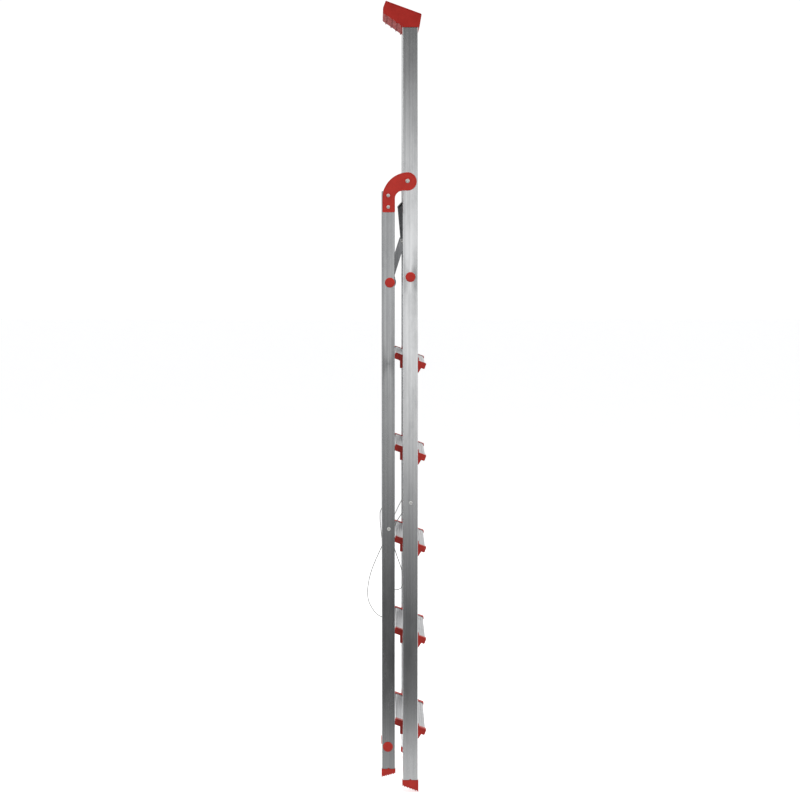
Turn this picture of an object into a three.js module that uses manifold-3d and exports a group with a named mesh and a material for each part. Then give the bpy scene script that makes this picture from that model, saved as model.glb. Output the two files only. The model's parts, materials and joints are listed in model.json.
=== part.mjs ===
// Folding platform stepladder: aluminium stiles and treads with moulded plastic fittings.
// It stands folded and upright, in millimetres with +Z up. X runs across the ladder, the climber
// stands on the -Y side and the rear frame is on the +Y side. The origin is on the floor, under
// the middle of the folded ladder.
import * as THREE from "three";
import { mergeVertices } from "three/addons/utils/BufferGeometryUtils.js";
import Module from "manifold-3d";

const wasm = await Module();
wasm.setup();

const { degToRad } = THREE.MathUtils;

// ---- Driving dimensions ----

const LEAN = degToRad(20); // the front frame's lean in use, so the slope of treads, tray and soles
const REAR_LEAN = degToRad(15); // the rear frame's lean in use
const TAPER = degToRad(1.8); // each stile leans in by this, so the ladder narrows upwards
const HALF_WIDTH_AT_FLOOR = 240;
const GAP = 0.3; // between pieces that touch
const FRONT_Y = -17.4; // the front stiles' centre plane

const FRONT = { width: 22, depth: 41, wall: 1.6, bottom: 33, top: 2074 };
const REAR = { width: 20, depth: 35, wall: 1.4, bottom: 64, top: 1634, y: 59.5 };
const CORNER = 2.5; // outside corner radius of both stile sections
const PLUG_CLEARANCE = 0.8; // keeps plugs and shoes off the tilted, rounded ends of the sections
const REAR_X = (REAR.width - FRONT.width) / 2; // outer faces of the stiles lie in one plane
const OUTER_FACE = -FRONT.width / 2;
const FRONT_INNER_FACE = FRONT.width / 2;
const REAR_INNER_FACE = REAR_X + REAR.width / 2;

const TREAD = { first: 181, pitch: 250, count: 5, nose: -44.6, back: 41, thickness: 12.5, wall: 2 };
const TREAD_RIB = { count: 11, width: 2.2, height: 0.8 };
const BRACKET = { plate: 5, sleeve: 28, cover: 1.4 };

const TUBE = { radius: 12.5, wall: 1.5, clearance: 0.4 };
const PLATFORM_AXIS = { y: -0.5, z: 1402 };
const REAR_UPPER_AXIS = { y: 55.2, z: 1387 };
const REAR_LOWER_AXIS = { y: 61.2, z: 124 };
const CAP = { radius: 13.5, height: 4.6, plug: 10.2, depth: 12 };

const HINGE = { y: 7.3, z: 1660, lobe: 24.5, thickness: 7, clearance: 0.9, pin: 4 };
const ARM_LEG = { front: 41.5, back: 75.3, bottom: 1577, outerArc: 70, innerArc: 22 };
const ARM_RIVETS = { upper: 1622, lower: 1591 };
const RIVET = { head: 4.6, headHeight: 1.8, shank: 2.4, tail: 3.8 };

const DECK = { front: -21, back: 209, top: 18, bottom: -15.2, half: 161.5, side: 3, plate: 2.4 };
const DECK_FOLDED = degToRad(84.8); // the deck's elevation when folded
const DECK_RIB = { count: 22, width: 4, height: 0.9 };
const REST_THICKNESS = 3.5;
const STAY = { length: 115.6, width: 14, thickness: 3, inner: 163.5, eye: 17 };
const STAY_LIP = { width: 4, height: 5, from: 20, short: 4 };
const STAY_FOLDED = degToRad(107.3); // from the rear tube up to the platform
const SADDLE = { along: 212.5, below: -11.5 }; // where the rear tube comes to rest under the deck

const TRAY = { half: 177, wall: 2.6, top: 2145, back: 66, divider: 60 };
const TRAY_RIB = { lines: [23.2, 36.5, 50, 64.5], width: 3, height: 3 }; // under the rising floor
const TRAY_SCREW = { y: 0, z: FRONT.top - 18 };
const CORD = { radius: 1, sides: 8, steps: 64 };
const ANCHOR_FRONT = { y: -1, z: 790 };
const ANCHOR_REAR = { y: 58.4, z: 719 };
const ANCHOR_COLLAR = { radius: 5, length: 5 };

// Routes of the two safety cords, from the front anchor to the rear one.
const LEFT_CORD_ROUTE = [
  [-187.2, -18.4, 789], [-181, -18.4, 788], [-177, -15, 783], [-176, -5, 771], [-176, 7, 754],
  [-177, 19, 735], [-178, 28, 712], [-178, 33, 686], [-178, 34.5, 655], [-178, 34, 615],
  [-178, 32, 570], [-178, 30, 525], [-178, 28.5, 480], [-178, 28, 440], [-179, 29.5, 411],
  [-181, 36, 396], [-184, 44, 397], [-186, 49, 411], [-187, 50.5, 440], [-187, 50, 480],
  [-187, 48, 512], [-186, 43, 534], [-184, 34, 545], [-182, 22, 548], [-181, 11, 550],
  [-180, 4, 558], [-180, 1.5, 573], [-180, 3.5, 592], [-181, 9, 613], [-182, 17, 636],
  [-182, 25, 660], [-182, 32, 682], [-182.5, 38, 699], [-183.5, 40.5, 709], [-185.5, 41, 715],
  [-188.3, 41, 717.8], [-191.4, 41, 718.4],
];
const RIGHT_CORD_ROUTE = [
  [187.2, -18.4, 789], [181, -18.4, 788], [177, -15, 783], [175.5, -7, 770], [175, 5, 750],
  [175.5, 20, 719], [176.5, 30, 696], [178, 42, 662], [180, 62, 615], [181, 78, 579],
  [182, 91.5, 542], [182.5, 98.5, 508], [182.5, 100, 486], [182, 96.5, 463], [181.5, 87, 443],
  [181, 73, 426], [180, 60, 418], [179, 47, 416], [178, 37.5, 423], [177.5, 34, 440],
  [177.5, 34.5, 475], [178, 38, 515], [178.5, 44.5, 558], [179, 52, 600], [179.5, 58.5, 642],
  [180, 62.5, 680], [180, 64, 708], [180, 62, 725], [181, 56, 733], [182.5, 49.5, 732.5],
  [184, 44.5, 728], [185.8, 41.8, 722], [188.3, 41, 719.2], [191.4, 41, 718.4],
];

// ---- Finishes ----

const ALUMINIUM = { color: 0xb4b5b7, roughness: 0.38, metalness: 0.9 };
const RIBBED_ALUMINIUM = { color: 0xc4c5c6, roughness: 0.45, metalness: 0.85 };
const RED_PLASTIC = { color: 0xb02e28, roughness: 0.5, metalness: 0 };
const DARK_PLASTIC = { color: 0x2c2d2e, roughness: 0.6, metalness: 0 };
const GREY_METAL = { color: 0x76787a, roughness: 0.5, metalness: 0.5 };
const BRIGHT_STEEL = { color: 0xd8d8d6, roughness: 0.25, metalness: 1 };
const CORD_WHITE = { color: 0xb9b8b4, roughness: 0.7, metalness: 0 };

// ---- Shape helpers ----

const SHAPE_TO_ACROSS = new THREE.Matrix4().makeBasis(
  new THREE.Vector3(0, 1, 0),
  new THREE.Vector3(0, 0, 1),
  new THREE.Vector3(1, 0, 0),
);

// A side's own frame: x = 0 is the middle of the front stile, -x is outboard, z runs up the stile.
const SIDE_FRAME = new THREE.Matrix4()
  .makeRotationY(TAPER)
  .setPosition(FRONT.width / 2 - HALF_WIDTH_AT_FLOOR, 0, 0);
const INTO_SIDE_FRAME = SIDE_FRAME.clone().invert();

// A closed outline through corners [y, z, radius]; a corner with a radius is rounded.
function outline(corners) {
  const shape = new THREE.Shape();
  const at = (i) => new THREE.Vector2(...corners.at(i % corners.length));
  corners.forEach(([y, z, radius = 0], i) => {
    const corner = at(i);
    const start = at(i - 1).sub(corner).setLength(radius).add(corner);
    const end = at(i + 1).sub(corner).setLength(radius).add(corner);
    if (i === 0) shape.moveTo(start.x, start.y);
    else shape.lineTo(start.x, start.y);
    if (radius > 0) shape.quadraticCurveTo(y, z, end.x, end.y);
  });
  shape.closePath();
  return shape;
}

// A rectangle between two corners in the Y-Z plane, as an outline.
function rectangle(y0, z0, y1, z1, radius = 0) {
  return outline([
    [y0, z0, radius],
    [y1, z0, radius],
    [y1, z1, radius],
    [y0, z1, radius],
  ]);
}

// A prism whose section lies in the Y-Z plane and that runs along X.
function prism(shape, from, to, segments = 3) {
  const settings = { depth: to - from, bevelEnabled: false, curveSegments: segments };
  const geometry = new THREE.ExtrudeGeometry(shape, settings);
  return geometry.applyMatrix4(SHAPE_TO_ACROSS).translate(from, 0, 0);
}

// A round bar along X.
function bar(radius, from, to, { y, z }, sides = 20) {
  const geometry = new THREE.CylinderGeometry(radius, radius, to - from, sides);
  return geometry.rotateZ(Math.PI / 2).translate((from + to) / 2, y, z);
}

// A shape turned about the X direction, from stations [x, radius] that run from the inboard end to
// the outboard one and start and end at radius 0.
function turned(stations, { y, z }, sides = 16) {
  const profile = stations.map(([x, radius]) => new THREE.Vector2(radius, x)).reverse();
  return new THREE.LatheGeometry(profile, sides).rotateZ(-Math.PI / 2).translate(0, y, z);
}

// An open-ended round tube along X.
function tube(half, { y, z }) {
  const ring = new THREE.Shape().absarc(0, 0, TUBE.radius, 0, 2 * Math.PI);
  ring.holes.push(new THREE.Path().absarc(0, 0, TUBE.radius - TUBE.wall, 0, 2 * Math.PI));
  return prism(ring, -half, half, 12).translate(0, y, z);
}

// A rectangular hollow section that runs up Z, with rounded corners.
function hollowSection({ width, depth, wall, bottom, top }) {
  const section = rectangle(-width / 2, -depth / 2, width / 2, depth / 2, CORNER);
  const [x, y] = [width / 2 - wall, depth / 2 - wall];
  section.holes.push(rectangle(-x, -y, x, y, CORNER - wall / 2));
  const settings = { depth: top - bottom, bevelEnabled: false, curveSegments: 3 };
  return new THREE.ExtrudeGeometry(section, settings).translate(0, 0, bottom);
}

function toSolid(geometry) {
  const bare = geometry.clone();
  bare.deleteAttribute("normal");
  bare.deleteAttribute("uv");
  const merged = mergeVertices(bare, 1e-4);
  const vertProperties = merged.getAttribute("position").array;
  const triVerts = new Uint32Array(merged.index.array);
  return new wasm.Manifold(new wasm.Mesh({ numProp: 3, vertProperties, triVerts }));
}

function toGeometry(solid) {
  const { vertProperties, triVerts } = solid.getMesh();
  const geometry = new THREE.BufferGeometry();
  geometry.setAttribute("position", new THREE.BufferAttribute(vertProperties, 3));
  geometry.setIndex(new THREE.BufferAttribute(triVerts, 1));
  geometry.computeVertexNormals();
  return geometry;
}

function cut(geometry, ...tools) {
  return toGeometry(tools.reduce((solid, tool) => solid.subtract(toSolid(tool)), toSolid(geometry)));
}

function join(...geometries) {
  return toGeometry(geometries.map(toSolid).reduce((solid, other) => solid.add(other)));
}

// ---- Stiles ----

// Holes that tubes and rivets pass through, in a side's frame.
function frontStile() {
  const through = [-30, 30];
  const tubeHole = bar(TUBE.radius + TUBE.clearance, -240, -130, PLATFORM_AXIS);
  const pinHole = bar(HINGE.pin + GAP, -240, -130, HINGE);
  return cut(
    hollowSection(FRONT),
    tubeHole.applyMatrix4(INTO_SIDE_FRAME),
    pinHole.applyMatrix4(INTO_SIDE_FRAME),
    bar(RIVET.shank + GAP, ...through, ANCHOR_FRONT, 12),
    bar(RIVET.shank + GAP, FRONT_INNER_FACE - 5, FRONT_INNER_FACE + 5, TRAY_SCREW, 12),
  );
}

function rearStile() {
  const section = hollowSection(REAR).translate(REAR_X, REAR.y, 0);
  const through = [-30, 30];
  const tubeHoles = [REAR_UPPER_AXIS, REAR_LOWER_AXIS].map((axis) =>
    bar(TUBE.radius + TUBE.clearance, -260, -150, axis).applyMatrix4(INTO_SIDE_FRAME),
  );
  const rivetHoles = Object.values(ARM_RIVETS).map((z) =>
    bar(RIVET.shank + GAP, ...through, { y: REAR.y, z }, 12),
  );
  const anchorHole = bar(RIVET.shank + GAP, ...through, ANCHOR_REAR, 12);
  return cut(section, ...tubeHoles, ...rivetHoles, anchorHole);
}

// ---- Feet ----

// A shoe under a stile: its toothed sole slopes by the stile's lean, and a plug fills the section.
function foot({ width, depth, wall, bottom }, x, y, lowZ, lean, towardsBack) {
  const lip = 1.4;
  const teeth = 6;
  const toothDepth = 3.6;
  const half = depth / 2 + lip;
  const rise = (along) => lowZ + Math.tan(lean) * along;
  const sole = [];
  for (let i = 0; i < teeth; i += 1) {
    const tip = ((2 * half) / teeth) * i;
    const valley = tip + half / teeth + half / teeth / 2;
    sole.push([tip, rise(tip)]);
    sole.push([valley, rise(valley) + toothDepth]);
  }
  sole.push([2 * half, rise(2 * half)]);
  const top = bottom - PLUG_CLEARANCE;
  const corners = [...sole, [2 * half, top], [0, top]];
  const placed = corners.map(([along, z]) => [towardsBack ? y - half + along : y + half - along, z]);
  const centreX = x - HALF_WIDTH_AT_FLOOR + FRONT.width / 2 + bottom * Math.tan(TAPER);
  const shoe = prism(outline(placed), centreX - width / 2 - lip, centreX + width / 2 + lip);
  const clear = wall + PLUG_CLEARANCE;
  const [plugX, plugY] = [width / 2 - clear, depth / 2 - clear];
  const plug = new THREE.BoxGeometry(2 * plugX, 2 * plugY, 30).translate(x, y, bottom + 10);
  return join(shoe.applyMatrix4(INTO_SIDE_FRAME), plug);
}

// ---- Treads and their brackets ----

// Places a shape drawn along a tread (y back along the slope, z square to it) at a tread's height.
function onSlope(geometry, z) {
  return geometry.rotateX(LEAN).translate(0, 0, z);
}

// The tread's section without its ribs and hollow, grown all round.
function treadEnvelope(grow) {
  const { nose, back, thickness } = TREAD;
  const [front, rear] = [nose - grow, back + grow];
  const [low, high] = [-thickness - grow, TREAD_RIB.height + grow];
  return outline([
    [front, low, 1 + grow],
    [rear, low, 1 + grow],
    [rear, high, 3],
    [front, high, 3],
  ]);
}

function tread(z) {
  const { nose, back, thickness, wall } = TREAD;
  const corners = [[nose, -thickness, 1], [nose, 0, 3]];
  const step = (back - nose - 10) / TREAD_RIB.count;
  for (let i = 0; i < TREAD_RIB.count; i += 1) {
    const start = nose + 5 + step * (i + 0.5) - TREAD_RIB.width / 2;
    corners.push([start, 0], [start + 0.4, TREAD_RIB.height]);
    corners.push([start + TREAD_RIB.width - 0.4, TREAD_RIB.height], [start + TREAD_RIB.width, 0]);
  }
  corners.push([back, 0, 3], [back, -thickness, 1], [back - wall, -thickness]);
  corners.push([back - wall, -wall], [nose + wall, -wall], [nose + wall, -thickness]);
  const half = innerHalfWidth(z) - BRACKET.plate - 2 * GAP - 0.6;
  return onSlope(prism(outline(corners), -half, half), z);
}

// Half the clear width between the front stiles at a height.
function innerHalfWidth(z) {
  return HALF_WIDTH_AT_FLOOR - FRONT.width - z * Math.tan(TAPER);
}

// A plate against the stile's inner face and a sleeve over the tread's end, with a lug in front of
// the stile and a leg behind it.
function stepBracket(z) {
  const face = FRONT_INNER_FACE + GAP;
  const sleeve = prism(treadEnvelope(BRACKET.cover + 0.35), face, face + BRACKET.sleeve);
  const plate = outline([
    [-23.5, 3, 2],
    [-23.5, -8],
    [-32, -23],
    [-22, -39, 1],
    [18, -25, 6],
    [21, -26],
    [28, -26, 2],
    [28, 5],
    [-10, 5, 3],
  ]);
  const body = prism(plate, face, face + BRACKET.plate).translate(0, 0, z);
  const [from, to] = [-innerHalfWidth(z) + BRACKET.plate + GAP, 0];
  const socket = onSlope(prism(treadEnvelope(0.35), from, to), z).applyMatrix4(INTO_SIDE_FRAME);
  return cut(join(onSlope(sleeve, z), body), socket);
}

// ---- Tubes' end caps, rivets and anchors ----

function tubeCap(axis) {
  const { radius, height, plug, depth } = CAP;
  const face = OUTER_FACE - GAP;
  const dome = [0.17, 0.34, 0.5].map((turn) => [
    face - height + 2 - 2 * Math.sin(Math.PI * turn),
    radius - 3 + 3 * Math.cos(Math.PI * turn),
  ]);
  const stations = [
    [face + depth, 0],
    [face + depth, plug],
    [face, plug],
    [face, radius],
    [face - height + 2, radius],
    ...dome,
    [face - height, 0],
  ];
  return turned(stations, axis, 20);
}

// A rivet whose head lies on an outer face and whose tail is set behind the inner one.
function rivet(outer, inner, at) {
  const { head, headHeight, shank, tail } = RIVET;
  const stations = [
    [inner + 1.5, 0],
    [inner + 1.5, tail - 1],
    [inner + GAP, tail],
    [inner + GAP, shank],
    [outer - GAP, shank],
    [outer - GAP, head],
    [outer - GAP - headHeight * 0.6, head * 0.8],
    [outer - GAP - headHeight, 0],
  ];
  return turned(stations, at, 12);
}

// A rivet with a collar inside the stile, where the cord is held.
function cordAnchor(inner, at) {
  const { head, headHeight, shank } = RIVET;
  const { radius, length } = ANCHOR_COLLAR;
  const outer = OUTER_FACE - GAP;
  const collar = inner + GAP;
  const stations = [
    [collar + length, 0],
    [collar + length, radius - 1],
    [collar + length - 1, radius],
    [collar, radius],
    [collar, shank],
    [outer, shank],
    [outer, head],
    [outer - headHeight * 0.6, head * 0.8],
    [outer - headHeight, 0],
  ];
  return turned(stations, at, 12);
}

// ---- Hinge ----

// The curved arm that carries a rear stile: a lobe round the pivot, an arc over and down to a leg.
function hingeArm() {
  const { y, z, lobe, thickness, clearance, pin } = HINGE;
  const { front, back, bottom, outerArc, innerArc } = ARM_LEG;
  const outerY = back - outerArc;
  const outerZ = z - Math.sqrt((outerArc - lobe) ** 2 - (outerY - y) ** 2);
  const touch = Math.atan2(z - outerZ, y - outerY);
  const innerZ = z - lobe - innerArc;
  const shape = new THREE.Shape();
  shape.moveTo(back, bottom);
  shape.absarc(outerY, outerZ, outerArc, 0, touch);
  shape.absarc(y, z, lobe, touch, 1.5 * Math.PI);
  shape.absarc(front - innerArc, innerZ, innerArc, 0.5 * Math.PI, 0, true);
  shape.lineTo(front, bottom);
  shape.closePath();
  const outer = OUTER_FACE - clearance - thickness;
  const plate = prism(shape, outer, OUTER_FACE - clearance, 8);
  const pinHole = bar(pin + GAP, -240, -130, HINGE).applyMatrix4(INTO_SIDE_FRAME);
  const rivetHoles = Object.values(ARM_RIVETS).map((rivetZ) =>
    bar(RIVET.shank + GAP, -40, 0, { y: REAR.y, z: rivetZ }, 12),
  );
  return cut(plate, pinHole, ...rivetHoles);
}

// The hinge pin runs along X through the front stile and the arm.
function hingePin() {
  const stileOuter = -innerHalfWidth(HINGE.z) - FRONT.width;
  const stileInner = -innerHalfWidth(HINGE.z);
  const armOuter = stileOuter - HINGE.clearance - HINGE.thickness;
  const inner = stileInner + 1;
  const outer = armOuter - 0.7;
  const stations = [
    [inner + 3, 0],
    [inner + 3, 6],
    [inner, 7],
    [inner, HINGE.pin],
    [outer, HINGE.pin],
    [outer, 5.6],
    [outer - 1.4, 4.6],
    [outer - 2, 0],
  ];
  return turned(stations, HINGE, 20).applyMatrix4(INTO_SIDE_FRAME);
}

// ---- Platform and stays ----

// Turns a shape drawn in the deck's frame (y back from the platform tube, z up) to its folded place.
function folded(geometry) {
  return geometry.rotateX(DECK_FOLDED).translate(0, PLATFORM_AXIS.y, PLATFORM_AXIS.z);
}

// Where the rear tube lies under the deck's end when the ladder is open.
function saddle() {
  return bar(TUBE.radius + TUBE.clearance, -200, 200, { y: SADDLE.along, z: SADDLE.below }, 32);
}

function deckPlate() {
  const { front, back, top, half, side, plate } = DECK;
  const end = back - REST_THICKNESS - GAP;
  const corners = [[front, top - 16, 1], [front, top, 6]];
  const step = (end - front - 20) / DECK_RIB.count;
  const low = top - DECK_RIB.height;
  corners.push([front + 9, top], [front + 9.6, low]);
  for (let i = 0; i < DECK_RIB.count; i += 1) {
    const start = front + 12 + step * i;
    corners.push([start, low], [start + 0.6, top]);
    corners.push([start + DECK_RIB.width, top], [start + DECK_RIB.width + 0.6, low]);
  }
  corners.push([end, low], [end, top - plate], [front + plate + 4, top - plate, 3]);
  corners.push([front + plate, top - plate - 4], [front + plate, top - 16]);
  const reach = half - side - GAP;
  return folded(prism(outline(corners), -reach, reach));
}

function deckSide() {
  const { front, back, top, bottom, half, side } = DECK;
  const end = back - REST_THICKNESS - GAP;
  const skirt = outline([
    [front, top - 1, 5],
    [front, -4, 7],
    [-8, bottom, 7],
    [186, bottom, 1],
    [end, 4.4, 1],
    [end, top - 1, 1],
  ]);
  const plate = prism(skirt, -half, -half + side);
  const hole = bar(TUBE.radius + TUBE.clearance, -200, -100, { y: 0, z: 0 });
  return folded(cut(plate, hole));
}

// A plastic edge across the deck's end, hollowed where it comes down on the rear tube.
function deckRest() {
  const { back, top, bottom, half } = DECK;
  const end = back - REST_THICKNESS;
  const strip = outline([
    [186.5, bottom - 0.4],
    [191.4, bottom - 0.4],
    [back, 2.4],
    [back, top, 1.5],
    [end, top, 1],
    [end, 3.8],
  ]);
  return folded(cut(prism(strip, -half, half), saddle()));
}

// A stay in its own frame: y runs from the rear tube's axis to the platform end.
function stay() {
  const { length, width, thickness, inner, eye } = STAY;
  const outer = -inner - thickness;
  const low = -width / 2;
  const web = prism(rectangle(0, low, length + 8, width / 2, 6), outer, -inner);
  const ring = bar(eye, outer, -inner, { y: 0, z: 0 }, 28);
  const lipSection = rectangle(STAY_LIP.from, low, length - STAY_LIP.short, low + STAY_LIP.height, 1.5);
  const lip = prism(lipSection, outer - STAY_LIP.width / 2, outer + 0.01);
  const hole = bar(TUBE.radius + TUBE.clearance, -200, -100, { y: 0, z: 0 });
  const pinHole = bar(RIVET.shank + GAP, -200, -100, { y: length, z: 0 }, 12);
  return toRearTube(cut(join(web, ring, lip), hole, pinHole));
}

function stayPin() {
  const { length, thickness, inner } = STAY;
  const outer = -inner - thickness;
  const { shank, tail } = RIVET;
  const at = { y: length, z: 0 };
  const stations = [
    [-inner + 1.4, 0],
    [-inner + 1.4, tail - 1],
    [-inner + GAP, tail],
    [-inner + GAP, shank],
    [outer - GAP, shank],
    [outer - GAP, 5],
    [outer - 1.2, 4],
    [outer - 1.8, 0],
  ];
  return toRearTube(turned(stations, at, 12));
}

function toRearTube(geometry) {
  return geometry.rotateX(STAY_FOLDED).translate(0, REAR_UPPER_AXIS.y, REAR_UPPER_AXIS.z);
}

// ---- Tool tray ----

// An open tray across the stile tops, with a sloping rim, a floor that rises at the back and ribs under it.
function toolTray() {
  const { half, wall, top, back, divider } = TRAY;
  const rim = (y) => top - (back - y) * Math.tan(LEAN);
  const tub = outline([
    [back, rim(back), 2],
    [-31, rim(-31), 3],
    [-25, FRONT.top + GAP, 2],
    [18, FRONT.top + GAP],
    [73.5, 2113, 2],
    [73.5, 2126, 3],
  ]);
  const ribs = TRAY_RIB.lines.map((y) => {
    const under = FRONT.top + GAP + ((y - 18) * (2113 - FRONT.top - GAP)) / 55.5 - TRAY_RIB.height;
    const section = rectangle(y - TRAY_RIB.width / 2, under, y + TRAY_RIB.width / 2, under + 5);
    return prism(section, 1 - half, half - 1);
  });
  let tray = join(prism(tub, -half, half), ...ribs);
  const edges = [-half, -divider, divider, half];
  for (let i = 0; i < 3; i += 1) {
    const from = edges[i] + (i === 0 ? wall : wall / 2);
    const to = edges[i + 1] - (i === 2 ? wall : wall / 2);
    const upper = outline([
      [back - 3, top + 20],
      [-27, top + 20],
      [-27.5, rim(-27), 1],
      [-22, FRONT.top + 4, 3],
      [19, FRONT.top + 4],
      [70.3, 2114],
      [70.3, 2126, 2],
      [back - 3.4, rim(back)],
    ]);
    tray = cut(tray, prism(upper, from, to));
  }
  const clear = FRONT.wall + PLUG_CLEARANCE;
  const plug = new THREE.BoxGeometry(FRONT.width - 2 * clear, FRONT.depth - 2 * clear, 32);
  plug.translate(0, 0, FRONT.top - 13).applyMatrix4(SIDE_FRAME);
  const screwHole = bar(RIVET.shank + GAP, 0, 20, TRAY_SCREW, 12);
  const leftPlug = cut(plug, screwHole.applyMatrix4(SIDE_FRAME));
  const rightPlug = toGeometry(toSolid(leftPlug).mirror([1, 0, 0]));
  return join(tray, leftPlug, rightPlug);
}

function trayScrew() {
  const face = FRONT_INNER_FACE + GAP;
  const stations = [
    [face + 2.4, 0],
    [face + 2.4, 3],
    [face + 1.4, 4.5],
    [face, 4.5],
    [face, 2.2],
    [face - 9, 2.2],
    [face - 10, 0],
  ];
  return turned(stations, TRAY_SCREW, 12);
}

// ---- Cords ----

function cord(route) {
  const points = route.map((point) => new THREE.Vector3(...point));
  const path = new THREE.CatmullRomCurve3(points, false, "centripetal");
  const corners = Array.from({ length: CORD.sides }, (_, i) => {
    const turn = (2 * Math.PI * i) / CORD.sides;
    return new THREE.Vector2(CORD.radius * Math.cos(turn), CORD.radius * Math.sin(turn));
  });
  const settings = { extrudePath: path, steps: CORD.steps };
  return new THREE.ExtrudeGeometry(new THREE.Shape(corners), settings);
}

// ---- Assembly ----

function piece(name, geometry, finish) {
  const mesh = new THREE.Mesh(geometry, new THREE.MeshStandardMaterial(finish));
  mesh.name = name;
  return mesh;
}

// The pieces that a side's frame holds, for the left side; the right side is their mirror image.
function sidePieces(side) {
  const brackets = Array.from({ length: TREAD.count }, (_, i) =>
    piece(`step_bracket_${i + 1}_${side}`, stepBracket(TREAD.first + i * TREAD.pitch), RED_PLASTIC),
  );
  const frontFoot = foot(FRONT, 0, 0, 0, LEAN, true);
  const rearFoot = foot(REAR, REAR_X, REAR.y, 40, REAR_LEAN, false);
  const armOuter = OUTER_FACE - HINGE.clearance - HINGE.thickness;
  const armRivets = Object.entries(ARM_RIVETS).map(([place, z]) => {
    const geometry = rivet(armOuter, REAR_INNER_FACE, { y: REAR.y, z });
    return piece(`arm_rivet_${place}_${side}`, geometry, BRIGHT_STEEL);
  });
  const frontAnchor = cordAnchor(FRONT_INNER_FACE, ANCHOR_FRONT);
  const rearAnchor = cordAnchor(REAR_INNER_FACE, ANCHOR_REAR);
  return [
    piece(`front_stile_${side}`, frontStile(), ALUMINIUM),
    piece(`front_foot_${side}`, frontFoot, RED_PLASTIC),
    ...brackets,
    piece(`platform_tube_cap_${side}`, tubeCap(PLATFORM_AXIS), RED_PLASTIC),
    piece(`hinge_pin_${side}`, hingePin(), BRIGHT_STEEL),
    piece(`front_cord_anchor_${side}`, frontAnchor, BRIGHT_STEEL),
    piece(`tray_screw_${side}`, trayScrew(), BRIGHT_STEEL),
    piece(`rear_stile_${side}`, rearStile(), ALUMINIUM),
    piece(`rear_foot_${side}`, rearFoot, RED_PLASTIC),
    piece(`hinge_arm_${side}`, hingeArm(), RED_PLASTIC),
    ...armRivets,
    piece(`rear_upper_cap_${side}`, tubeCap(REAR_UPPER_AXIS), RED_PLASTIC),
    piece(`rear_lower_cap_${side}`, tubeCap(REAR_LOWER_AXIS), RED_PLASTIC),
    piece(`rear_cord_anchor_${side}`, rearAnchor, BRIGHT_STEEL),
  ];
}

// The pieces that stand square to the ladder but are one to a side.
function uprightSidePieces(side) {
  return [
    piece(`platform_side_${side}`, deckSide(), GREY_METAL),
    piece(`stay_${side}`, stay(), ALUMINIUM),
    piece(`stay_pin_${side}`, stayPin(), BRIGHT_STEEL),
  ];
}

function side(name, mirror) {
  const tilted = new THREE.Group().add(...sidePieces(name));
  tilted.applyMatrix4(SIDE_FRAME);
  const group = new THREE.Group().add(tilted, ...uprightSidePieces(name));
  group.scale.x = mirror;
  return group;
}

// Half the distance between the stiles' outer faces at a height, less the tube's set-back.
function tubeHalf(z) {
  return HALF_WIDTH_AT_FLOOR - z * Math.tan(TAPER) - 1;
}

const frame = new THREE.Group();
frame.position.y = FRONT_Y;
for (let i = 0; i < TREAD.count; i += 1) {
  frame.add(piece(`tread_${i + 1}`, tread(TREAD.first + i * TREAD.pitch), RIBBED_ALUMINIUM));
}
frame.add(
  piece("platform_tube", tube(tubeHalf(PLATFORM_AXIS.z), PLATFORM_AXIS), ALUMINIUM),
  piece("rear_upper_tube", tube(tubeHalf(REAR_UPPER_AXIS.z), REAR_UPPER_AXIS), ALUMINIUM),
  piece("rear_lower_tube", tube(tubeHalf(REAR_LOWER_AXIS.z), REAR_LOWER_AXIS), ALUMINIUM),
  piece("tool_tray", toolTray(), RED_PLASTIC),
  piece("platform_deck", deckPlate(), RIBBED_ALUMINIUM),
  piece("platform_end_rest", deckRest(), DARK_PLASTIC),
  side("left", 1),
  side("right", -1),
);

const ladder = new THREE.Group().add(
  frame,
  piece("safety_cord_left", cord(LEFT_CORD_ROUTE), CORD_WHITE),
  piece("safety_cord_right", cord(RIGHT_CORD_ROUTE), CORD_WHITE),
);

export default ladder;
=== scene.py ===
"""Folding platform stepladder: the finished look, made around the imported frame, in metres."""

import json
import logging
import math
from collections.abc import Callable, Iterator, Sequence
from contextlib import contextmanager
from dataclasses import dataclass, field
from enum import Enum

import bmesh
import bpy
from mathutils import Matrix, Vector

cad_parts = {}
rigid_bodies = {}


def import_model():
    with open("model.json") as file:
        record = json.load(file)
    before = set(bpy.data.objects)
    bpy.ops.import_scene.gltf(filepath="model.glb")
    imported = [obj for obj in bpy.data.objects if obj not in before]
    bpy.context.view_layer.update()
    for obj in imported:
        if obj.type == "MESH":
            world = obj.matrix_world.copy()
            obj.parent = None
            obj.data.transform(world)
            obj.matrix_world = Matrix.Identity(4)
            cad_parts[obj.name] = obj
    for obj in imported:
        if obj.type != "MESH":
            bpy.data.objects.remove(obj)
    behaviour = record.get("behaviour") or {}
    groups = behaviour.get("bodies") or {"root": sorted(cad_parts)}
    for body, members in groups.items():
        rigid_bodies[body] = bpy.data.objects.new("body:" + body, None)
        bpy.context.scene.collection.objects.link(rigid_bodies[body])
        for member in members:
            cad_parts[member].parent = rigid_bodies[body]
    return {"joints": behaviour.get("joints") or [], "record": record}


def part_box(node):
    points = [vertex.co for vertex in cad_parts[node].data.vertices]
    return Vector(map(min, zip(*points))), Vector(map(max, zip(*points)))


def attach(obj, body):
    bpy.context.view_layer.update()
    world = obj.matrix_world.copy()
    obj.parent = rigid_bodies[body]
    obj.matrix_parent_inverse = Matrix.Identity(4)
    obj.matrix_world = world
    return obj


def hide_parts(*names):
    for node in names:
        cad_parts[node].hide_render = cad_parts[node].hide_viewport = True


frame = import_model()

log = logging.getLogger("stepladder")

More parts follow.
